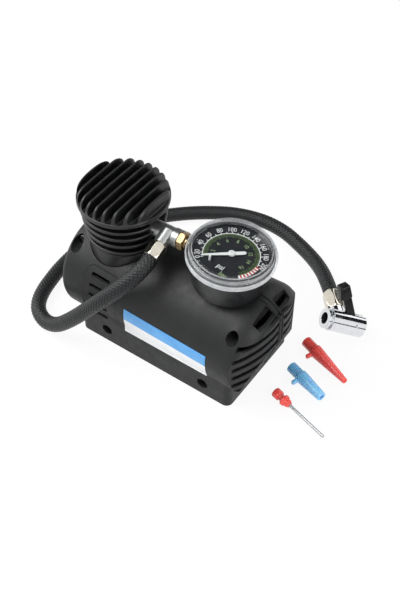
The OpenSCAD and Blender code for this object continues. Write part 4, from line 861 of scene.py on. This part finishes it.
def ridges(s):
    """The ridged top as a loop across the head, swept front to back.

    Across, the loop rises over each ridge and falls to the floor between, with rounded crests and roots, and
    comes back underneath. Front to back, a point sits at y = Y(x) sin(90 t), t from -1 to 1, where Y(x) is
    the disc's edge. Its height is the floor's plus its share of the rise to the envelope, a disc whose edge
    is rounded by a quarter circle, so the ridges run down at their ends."""
    radius, floor, top, under, round_r = 31.3, 110.0, 119.2, 108.8, 6.2
    pitch, half = s.pitch / MM, s.crest / MM / 2
    middles = (np.arange(s.fins) - (s.fins - 1) / 2) * pitch
    rise = top - floor
    corners = [(-radius, 0, 0)]
    for m in middles:
        corners += [(m - half - 0.45, 0, 1.3), (m - half + 0.15, rise, 1.0), (m + half - 0.15, rise, 1.0),
                    (m + half + 0.45, 0, 1.3)]
    corners += [(radius, 0, 0), (radius, -1, 0), (-radius, -1, 0)]
    loop = rounded(corners, 5)
    x, share = np.clip(loop[:, 0], -radius, radius), loop[:, 1] / rise
    below = loop[:, 1] <= -0.5
    t = np.sin(np.linspace(-np.pi / 2, np.pi / 2, 72))
    y = np.sqrt(np.maximum(radius ** 2 - x ** 2, 0))[:, None] * t[None]
    far = np.sqrt(x[:, None] ** 2 + y ** 2)
    inward = np.clip(far - (radius - round_r), 0, round_r)
    envelope = top - round_r + np.sqrt(np.maximum(round_r ** 2 - inward ** 2, 0))
    sag = 0.9 * (far / radius) ** 2
    z = floor + np.clip(share, 0, 1)[:, None] * (envelope - sag - floor)
    z = np.where(below[:, None], under, z)
    z[:, [0, -1]] = under
    return np.stack([np.broadcast_to(x[:, None], z.shape), y, z], axis=-1)


class INFLATOR_OT_rings(bpy.types.Operator):
    """Adds the sleeve with its cooling rings, open where the outlet passes"""
    bl_idname = "inflator.rings"
    bl_label = "Cooling rings"

    def execute(self, context):
        s = context.scene.inflator_head
        tip = s.ring_tip / MM
        sheets = [(lathe(rounded([(16.3, 60.5, 0.2), (25.5, 60.5, 0.4), (25.5, 76, 0.9), (21.5, 76.2, 0.8),
                                  (21.5, 85.4, 0), (16.3, 85.4, 0)]), 128), True, True),
                  (ring_part(16.3, 21.5, 85.4, 106.0, 0.05, open_half=8.2), True, True)]
        for i in range(4):
            low, outer = 78.4 + 7 * i, 27.4 + 0.9 * i
            high = low + 2.6
            if high < 85.6:
                loop = rounded([(20.5, low, 0), (outer, low, tip), (outer + 0.3, high, tip), (20.5, high, 0)])
                sheets.append((lathe(loop, 128), True, True))
            else:
                sheets.append((ring_part(20.5, outer, low, high, tip, open_half=8.2), True, True))
        mesh_piece("ringed_sleeve", seated(HEAD, *sheets), finish("head"), "case",
                   ("finned_sleeve",), 36.0)
        return {"FINISHED"}


def ring_part(inner, outer, low, high, tip, open_half):
    """A ring that stops open_half short of the outlet's middle plane on both sides: the opening's half
    angle is asin(open_half / outer radius)."""
    lean = 0.3 * (tip > 0.1)
    loop = rounded([(inner, low, 0), (outer, low, tip), (outer + lean, high, tip), (inner, high, 0)])
    gap = math.degrees(math.asin(open_half / outer))
    return arc_solid(loop, gap, 360 - gap, 112)


class INFLATOR_OT_seam(bpy.types.Operator):
    """Adds the two beads along the joint between the halves of the case"""
    bl_idname = "inflator.seam"
    bl_label = "Seam beads"

    def execute(self, context):
        s = context.scene.inflator_case
        sheets = []
        for side, shell in ((-1, "front_shell"), (1, "back_shell")):
            line = case_outline(side * s.seam_gap, 92, -52, 74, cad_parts[shell])
            path, _ = smooth_path(line / MM, 0.6)
            sheets.append((closed_tube(path, half_round(s.seam_bead / MM)) * MM, False, True))
        mesh_piece("seam_beads", sheets, finish("case"), "case", (), 50.0)
        return {"FINISHED"}


def half_round(width):
    """A flattened ring, wider than it is high, for a bead that is half sunk in the case."""
    a = np.linspace(0, 2 * np.pi, 14, endpoint=False)
    return np.stack([width * 0.62 * np.cos(a), width * np.sin(a)], axis=-1)


def case_outline(y, start, end, count, node):
    """Points in the plane y where lines towards the middle of the case's right end first meet its outside."""
    mesh = node.data
    skin = BVHTree.FromPolygons([v.co for v in mesh.vertices], [p.vertices[:] for p in mesh.polygons])
    points = []
    for angle in np.radians(np.linspace(start, end, count)):
        way = np.array([math.cos(angle), 0.0, math.sin(angle)])
        origin = np.array([48.0 * MM, y, 44.0 * MM]) + way * 0.12
        hit = skin.ray_cast(Vector(origin), Vector(-way))[0]
        if hit is not None:
            points.append(np.array(hit))
    return np.array(points)


class INFLATOR_OT_dial(bpy.types.Operator):
    """Prints the scales, numbers and warning stripes of the gauge"""
    bl_idname = "inflator.dial"
    bl_label = "Dial print"

    def execute(self, context):
        s = context.scene.inflator_gauge
        low, high = DIAL_FACE, DIAL_PRINT
        # Outer scale: pounds per square inch, marked at 0 and at each 10 from 20 to 200, larger at each 20
        twenties, tens = np.arange(0, 201, 20), np.arange(30, 200, 20)
        white = [(arc_band(18.35, 18.9, scale_angle(0), scale_angle(204), low, high), True, True)]
        for values, reach, wide in ((twenties, 1.3, 0.55), (tens, 1.1, 0.45)):
            way, middle = polar(scale_angle(values), 18.85 + reach / 2)
            white.append((boxes(middle, way, reach, wide, low, high), None, None))
        red = []
        for k, v in enumerate(np.arange(205, 246, 3.0)):
            sheet = (arc_band(18.0, 20.6, scale_angle(v), scale_angle(v + 3.05), low, high), True, True)
            (red if k % 2 == 0 else white).append(sheet)
        # Inner scale: bar, a mark at each fifth of a bar and a longer one at each whole bar
        bars = np.arange(0, 16.81, 0.2)
        last = scale_angle(PSI_PER_BAR * 16.8)
        green = [(arc_band(17.6, 18.0, scale_angle(0), last, low, high), True, True)]
        for step, reach, wide in ((bars, 2.3, 0.26), (bars[::5], 2.9, 0.45)):
            way, middle = polar(scale_angle(step * PSI_PER_BAR), 17.7 - reach / 2)
            green.append((boxes(middle, way, reach, wide, low, high), None, None))
        for name, sheets, ink, slot in (("white_marks", white, "ink_white", "white"),
                                        ("red_stripes", red, "ink_red", "red"),
                                        ("green_marks", green, "ink_green", "label")):
            mesh_piece(name, seated(GAUGE, *unpack(sheets)), finish(ink), "case")
        # The stop pin stands 14 degrees past the pointer's rest, on the side away from the scale
        pin = rounded([(0.0, low, 0), (0.78, low, 0), (0.78, 2.66, 0.3), (0.0, 2.66, 0)])
        peg = GAUGE @ turn("z", POINTER_REST + 14) @ shift(15, 0, 0)
        mesh_piece("stop_pin", seated(peg, (lathe(pin, 32), True, True)), finish("pointer"), "case")
        numbers("white_numbers", [(str(v), scale_angle(v), 22.2) for v in range(0, 201, 20)], s.numerals / MM,
                finish("ink_white"), [("psi", (0.4, -13.6), 3.9)])
        numbers("green_numbers", [(str(v), scale_angle(v * PSI_PER_BAR), 12.3) for v in range(2, 17, 2)], 2.9,
                finish("ink_pale_green"), [("bar", (5.5, -17.6), 3.6)])
        return {"FINISHED"}


def scale_angle(psi):
    """Where a pressure stands on the dial, in degrees anticlockwise from +X. It is crowded up to 20."""
    return np.interp(psi, (0.0, 20.0, 250.0), (223.0, 212.0, -46.5))


def arc_band(inner, outer, start, end, low, high):
    """A flat thin band between two radii and two angles, closed all round."""
    loop = np.array([(inner, low), (outer, low), (outer, high), (inner, high)])
    steps = max(3, int(abs(float(start) - float(end)) / 2.5))
    return arc_solid(loop, float(start), float(end), steps)


def unpack(sheets):
    """Sheets ready to mesh: a stack of bars becomes one sheet for each bar."""
    out = []
    for points, a, b in sheets:
        if a is None:
            out += [(bar, False, True) for bar in points]
        else:
            out.append((points, False, b))
    return out


def numbers(name, radial, height, material, words):
    """Numbers set round the dial, their feet towards its middle, and words beside the scale, as one thin
    mesh. Each is typed, made a mesh, turned by its angle less 90 degrees, or -7 for a word, and moved."""
    verts, faces, start = [], [], 0
    jobs = [(text, angle - 90, polar([angle], radius)[1][0], height) for text, angle, radius in radial]
    jobs += [(text, -7.0, np.array(at), size) for text, at, size in words]
    for text, spin, at, size in jobs:
        curve = bpy.data.curves.new("type", "FONT")
        curve.body, curve.size, curve.extrude = text, size * 1.4, 0.03
        curve.align_x, curve.align_y, curve.resolution_u = "CENTER", "CENTER", 3
        curve.offset = 0.02
        holder = bpy.data.objects.new("type", curve)
        bpy.context.scene.collection.objects.link(holder)
        bpy.context.view_layer.update()
        shape = holder.evaluated_get(bpy.context.evaluated_depsgraph_get()).to_mesh()
        points = np.empty(len(shape.vertices) * 3)
        shape.vertices.foreach_get("co", points)
        points = points.reshape(-1, 3)
        centre = (points.min(axis=0) + points.max(axis=0)) / 2
        a = math.radians(spin)
        x, y = (points[:, 0] - centre[0]) * 0.86, points[:, 1] - centre[1]
        cos, sin, level = math.cos(a), math.sin(a), (DIAL_FACE + DIAL_PRINT) / 2
        verts.append(np.stack([at[0] + x * cos - y * sin, at[1] + x * sin + y * cos,
                               points[:, 2] - centre[2] + level], axis=1))
        faces += [[i + start for i in p.vertices] for p in shape.polygons]
        start += len(points)
        holder.to_mesh_clear()
        bpy.data.objects.remove(holder)
        bpy.data.curves.remove(curve)
    mesh = bpy.data.meshes.new(name)
    mesh.from_pydata(placed(np.concatenate(verts), GAUGE).tolist(), [], faces)
    mesh.update()
    return settle(bpy.data.objects.new(name, mesh), material, "case", (), 30.0)


class INFLATOR_OT_pointer(bpy.types.Operator):
    """Adds the gauge's pointer with its hub and tail"""
    bl_idname = "inflator.pointer"
    bl_label = "Pointer"

    def execute(self, context):
        # Half widths along the pointer, from its rounded tail to its fine tip
        along = np.array([-9.6, -9.4, -8.9, -8, -4, 0, 6, 12, 17, 19.6, 20])
        half = np.array([0.1, 0.75, 1.2, 1.4, 1.4, 1.3, 1.1, 0.9, 0.7, 0.45, 0.1])
        a = np.linspace(0, 2 * np.pi, 16, endpoint=False)
        dense = np.linspace(along[0], along[-1], 60)
        width = np.interp(dense, along, half)
        path = np.stack([dense, np.zeros(60), np.full(60, 0.02)], axis=1)
        squared = np.stack([np.sign(wave) * np.abs(wave) ** 0.5 for wave in (np.cos(a), np.sin(a))], -1)
        ring = squared[None] * np.stack([width, np.full(60, 0.3)], axis=1)[:, None]
        place = GAUGE @ turn("z", POINTER_REST)
        hub = rounded([(0.9, -0.45, 0), (2.4, -0.45, 0.15), (2.4, 0.8, 0.5), (1.5, 1.2, 0.4), (0.9, 1.2, 0)])
        mesh_piece("pointer_hand", seated(place, (closed_tube(path, ring), False, True),
                                          (lathe(hub, 40), True, True)), finish("pointer"),
                   "pointer_hand", ("pointer",), 40.0)
        return {"FINISHED"}


class INFLATOR_OT_lens(bpy.types.Operator):
    """Adds the clear lens with its stepped rim"""
    bl_idname = "inflator.lens"
    bl_label = "Lens"

    def execute(self, context):
        r = context.scene.inflator_gauge.step_round / MM
        loop = rounded([(0, 6, 0), (26.2, 6, r), (26.3, 4.6, r * 0.4), (27.8, 4.6, r), (27.9, 1, r * 0.4),
                        (30, 1, r), (30, -2.6, 0.3), (28.7, -2.6, 0.2), (28.7, 0.05, 0.2), (26, 0.05, 0.3),
                        (26, 2, 0.3), (23.6, 2, 0.3), (23.6, 4.4, 0.3), (0, 4.4, 0)], 5)
        steps = 144
        around = np.linspace(0, 1, steps + 1)
        a = 2 * np.pi * around
        grid = np.stack([loop[:, :1] * np.cos(a), loop[:, :1] * np.sin(a),
                         np.broadcast_to(loop[:, 1:], (len(loop), steps + 1))], axis=-1)
        uv = np.stack(np.broadcast_arrays(around[None], loop[:, :1] * MM), axis=-1)
        mesh_piece("gauge_window", seated(GAUGE, (grid, False, False)), finish("lens"), "case",
                   ("gauge_lens",), 34.0, [uv])
        return {"FINISHED"}


class INFLATOR_OT_hexagons(bpy.types.Operator):
    """Adds the brass nut and the hose's two hexagon ferrules"""
    bl_idname = "inflator.hexagons"
    bl_label = "Nut and ferrules"

    def execute(self, context):
        end = OUTLET_FERRULE_L
        self.hexagon("outlet_ferrule_hex", aim(HOSE_ROUTE[0] - EXIT_DIR * end, EXIT_DIR), 5.63, [
            (0, 0), (0, 5.0), (0.6, 5.2), (1, 5.2), (1.02, 5.75), (1.5, 6.2), (2.6, 6.55), (end - 2.6, 6.55),
            (end - 1.2, 6.25), (end - 0.5, 6.0), (end - 0.02, 5.8), (end - 0.02, 0)],
            "nickel", "nickel", ("outlet_ferrule",))
        end = CHUCK_FERRULE_L
        neck = end + 1.98
        along = np.linspace(0, end, 17)
        swell = 6.45 + 0.75 * np.sin(np.pi * along / end) ** 0.8
        limits = [(0.02, 0), (0.02, 5.9), *zip(along[1:-1], swell[1:-1]), (end, 6.2), (end, 5.4), (neck, 5.4),
                  (neck, 0)]
        self.hexagon("chuck_ferrule_hex", aim(HOSE_ROUTE[-1], CHUCK_IN), 6.24, limits, "nickel", "nickel",
                     ("chuck_ferrule",))
        nut = shift(-0.9, 0, OUTLET_Z) @ turn("y", 90)
        self.hexagon("brass_nut", nut, 6.06, [
            (0.02, 0), (0.02, 6.2), (0.5, 6.7), (1.0, 7.0), (3.7, 7.0), (4.3, 6.7), (4.8, 6.2), (4.8, 4.6),
            (6.4, 4.6), (6.4, 0)], "brass", "bronze", ("gauge_nut",))
        return {"FINISHED"}

    def hexagon(self, name, place, apothem, limits, ink, slot, stands_for):
        mesh_piece(name, seated(place, (hex_bar(apothem, limits), False, True)), finish(ink), "case",
                   stands_for, 24.0)


class INFLATOR_OT_lever(bpy.types.Operator):
    """Adds the thumb lever of the chuck"""
    bl_idname = "inflator.lever"
    bl_label = "Thumb lever"

    def execute(self, context):
        stem = soft_box((-3.0, -1.95, 0), (3.0, 1.95, 23), 0.7)
        pad = soft_box((-6.0, -4.2, 21.5), (3.0, 4.2, 31.5), 1.0, 5)
        # The pad thins towards its top, where its -X face has drawn in by 22 % of its depth
        rise = np.clip((pad[..., 2] - 21.5) / 10, 0, 1)
        pad[..., 0] = 3.0 - (3.0 - pad[..., 0]) * (1 - 0.22 * rise)
        hub = rounded([(1.05, -1.95, 0.1), (3.95, -1.95, 0.4), (3.95, 1.95, 0.4), (1.05, 1.95, 0.1)])
        mesh_piece("thumb_lever", seated(LEVER, (stem, False, True), (pad, False, True))
                   + seated(LEVER @ turn("x", 90), (lathe(hub, 48), True, True)), finish("gloss_black"),
                   "lever", ("chuck_lever",), 40.0)
        return {"FINISHED"}


def lying(at, degrees, height):
    """A frame that lies on the floor: +Z runs level, degrees round from +X."""
    return shift(at[0], at[1], height) @ turn("z", degrees) @ turn("y", 90)


class INFLATOR_OT_nozzles(bpy.types.Operator):
    """Adds the two tapered nozzles"""
    bl_idname = "inflator.nozzles"
    bl_label = "Nozzles"

    def execute(self, context):
        self.nozzle("red_tapered_nozzle", lying((80.2, 40.4), -21, 4.85), 44, 9.6, 4.0, 2.0, "red", "red",
                    "red_adaptor", "red_nozzle")
        self.nozzle("blue_tapered_nozzle", lying((83.6, 14.4), -19, 4.75), 33, 9.4, 6.6, 3.6, "blue", "blue",
                    "blue_adaptor", "blue_nozzle")
        return {"FINISHED"}

    def nozzle(self, name, place, long, cone, tip, bore, ink, slot, body, node):
        loop = rounded([(2.5, 0, 0.3), (4, 0, 0.35), (4, 10, 0.25), (cone / 2, 10, 0.45),
                        (cone / 2, 12.2, 1.5), (tip / 2, long, 0.35), (bore / 2, long, 0.3),
                        (2.5, 9.5, 0.5)], 5)
        tab = soft_box((-1.6, -cone / 2 - 4.2, 10.5), (1.6, -cone / 2 + 1.4, 12.9), 0.5)
        mesh_piece(name, seated(place, (lathe(loop, 72), True, True), (tab, False, True)), finish(ink), body,
                   (node,), 34.0)


class INFLATOR_OT_ball_needle(bpy.types.Operator):
    """Adds the ball needle: its hub, the two ribs along the hub's waist, and its tube"""
    bl_idname = "inflator.ball_needle"
    bl_label = "Ball needle"

    def execute(self, context):
        place = lying((86, -10.4), -16, 4.05)
        hub = rounded([(1.8, 0, 0.3), (3.6, 0, 0.4), (3.6, 5, 0.35), (2.3, 5, 0.3), (2.3, 8.4, 0.2),
                       (4, 8.4, 0.3), (4, 10.6, 0.3), (3.0, 10.6, 0.15), (3.0, 12.8, 0.9), (1.8, 15, 0.4),
                       (1.05, 15, 0.1), (1.05, 8, 0), (1.8, 8, 0)], 4)
        rib = soft_box((-0.7, -2.7, 4.8), (0.7, 2.7, 8.6), 0.3)
        mesh_piece("needle_hub_moulding", seated(place, (lathe(hub, 64), True, True), (rib, False, True)),
                   finish("red"), "ball_needle", ("needle_hub",), 34.0)
        steel = rounded([(0.6, 8, 0), (1.0, 8, 0.1), (1.0, 47.6, 0.35), (0.6, 48, 0.15), (0.45, 47.6, 0),
                         (0.6, 44, 0)], 5)
        mesh_piece("needle_steel", seated(place, (lathe(steel, 40), True, True)), finish("needle"),
                   "ball_needle", ("needle_tube",), 34.0)
        return {"FINISHED"}


CAD_FINISH = {
    "case": ("front_shell", "back_shell"),
    "label": ("front_label",),
    "rubber": ("lead_inlet", "chuck_seal", "piston_cup", "valve_disc"),
    "gloss_black": ("switch_body", "switch_rocker", "motor_end_cap"),
    "zinc": ("case_screws", "frame_screws", "cap_screws", "lever_pin", "motor_can", "motor_shaft",
             "crank_shaft", "crank_pin", "valve_spring"),
    "aluminium": ("pump_frame", "crank_web", "piston", "pump_cylinder", "cylinder_cap"),
    "die_cast": ("outlet_tee",),
    "ferrite": ("motor_magnets", "motor_brushes"),
    "bronze": ("motor_bushes", "crank_bush", "bourdon_tube", "valve_plate"),
    "copper": ("suppression_chokes", "armature", "commutator"),
    "brass": ("motor_pinion", "chuck_plunger", "gauge_stem", "movement_frame", "sector_gear",
              "pointer_arbor"),
    "nylon": ("crank_gear", "con_rod"),
    "chrome": ("chuck_body", "chuck_collar"),
    "drum": ("gauge_drum",),
    "dial": ("dial",),
}


class INFLATOR_OT_exact_parts(bpy.types.Operator):
    """Gives every exact part that stays in view its finish"""
    bl_idname = "inflator.exact_parts"
    bl_label = "Exact parts"

    def execute(self, context):
        for ink, names in CAD_FINISH.items():
            for name in names:
                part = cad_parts[name]
                if not part.material_slots:
                    part.data.materials.append(None)
                for held in part.material_slots:
                    held.material = finish(ink)
        return {"FINISHED"}


# ---------------------------------------------------------------- panel and registration

STEPS = (INFLATOR_OT_stage, INFLATOR_OT_hexagons, INFLATOR_OT_lever, INFLATOR_OT_hose, INFLATOR_OT_cover,
         INFLATOR_OT_rings, INFLATOR_OT_seam, INFLATOR_OT_dial, INFLATOR_OT_pointer, INFLATOR_OT_lens,
         INFLATOR_OT_nozzles, INFLATOR_OT_ball_needle, INFLATOR_OT_exact_parts)

SETTINGS = {"inflator_case": CaseSettings, "inflator_head": HeadSettings, "inflator_hose": HoseSettings,
            "inflator_gauge": GaugeSettings, "inflator_fittings": FittingSettings,
            "inflator_adaptors": AdaptorSettings, "inflator_stage": StageSettings}


class INFLATOR_PT_panel(bpy.types.Panel):
    """Lists the inflator's pieces and their settings"""
    bl_label = "Tire inflator"
    bl_idname = "INFLATOR_PT_panel"
    bl_space_type = "VIEW_3D"
    bl_region_type = "UI"
    bl_category = "Inflator"

    def draw(self, context):
        for step in STEPS:
            self.layout.operator(step.bl_idname)
        for key, kind in SETTINGS.items():
            box = self.layout.box()
            box.label(text=kind.__name__.replace("Settings", ""))
            for field in kind.__annotations__:
                box.prop(getattr(context.scene, key), field)


def register():
    for kind in (*SETTINGS.values(), *STEPS, INFLATOR_PT_panel):
        bpy.utils.register_class(kind)
    for key, kind in SETTINGS.items():
        setattr(bpy.types.Scene, key, PointerProperty(type=kind))


def unregister():
    for key in SETTINGS:
        delattr(bpy.types.Scene, key)
    for kind in reversed((*SETTINGS.values(), *STEPS, INFLATOR_PT_panel)):
        bpy.utils.unregister_class(kind)


def main():
    """Registers the add-on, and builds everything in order."""
    register()
    scene = bpy.context.scene
    scene.view_settings.view_transform = "Standard"
    make_finishes(scene)
    for step in STEPS:
        family, action = step.bl_idname.split(".")
        getattr(getattr(bpy.ops, family), action)()


if __name__ == "__main__":
    main()
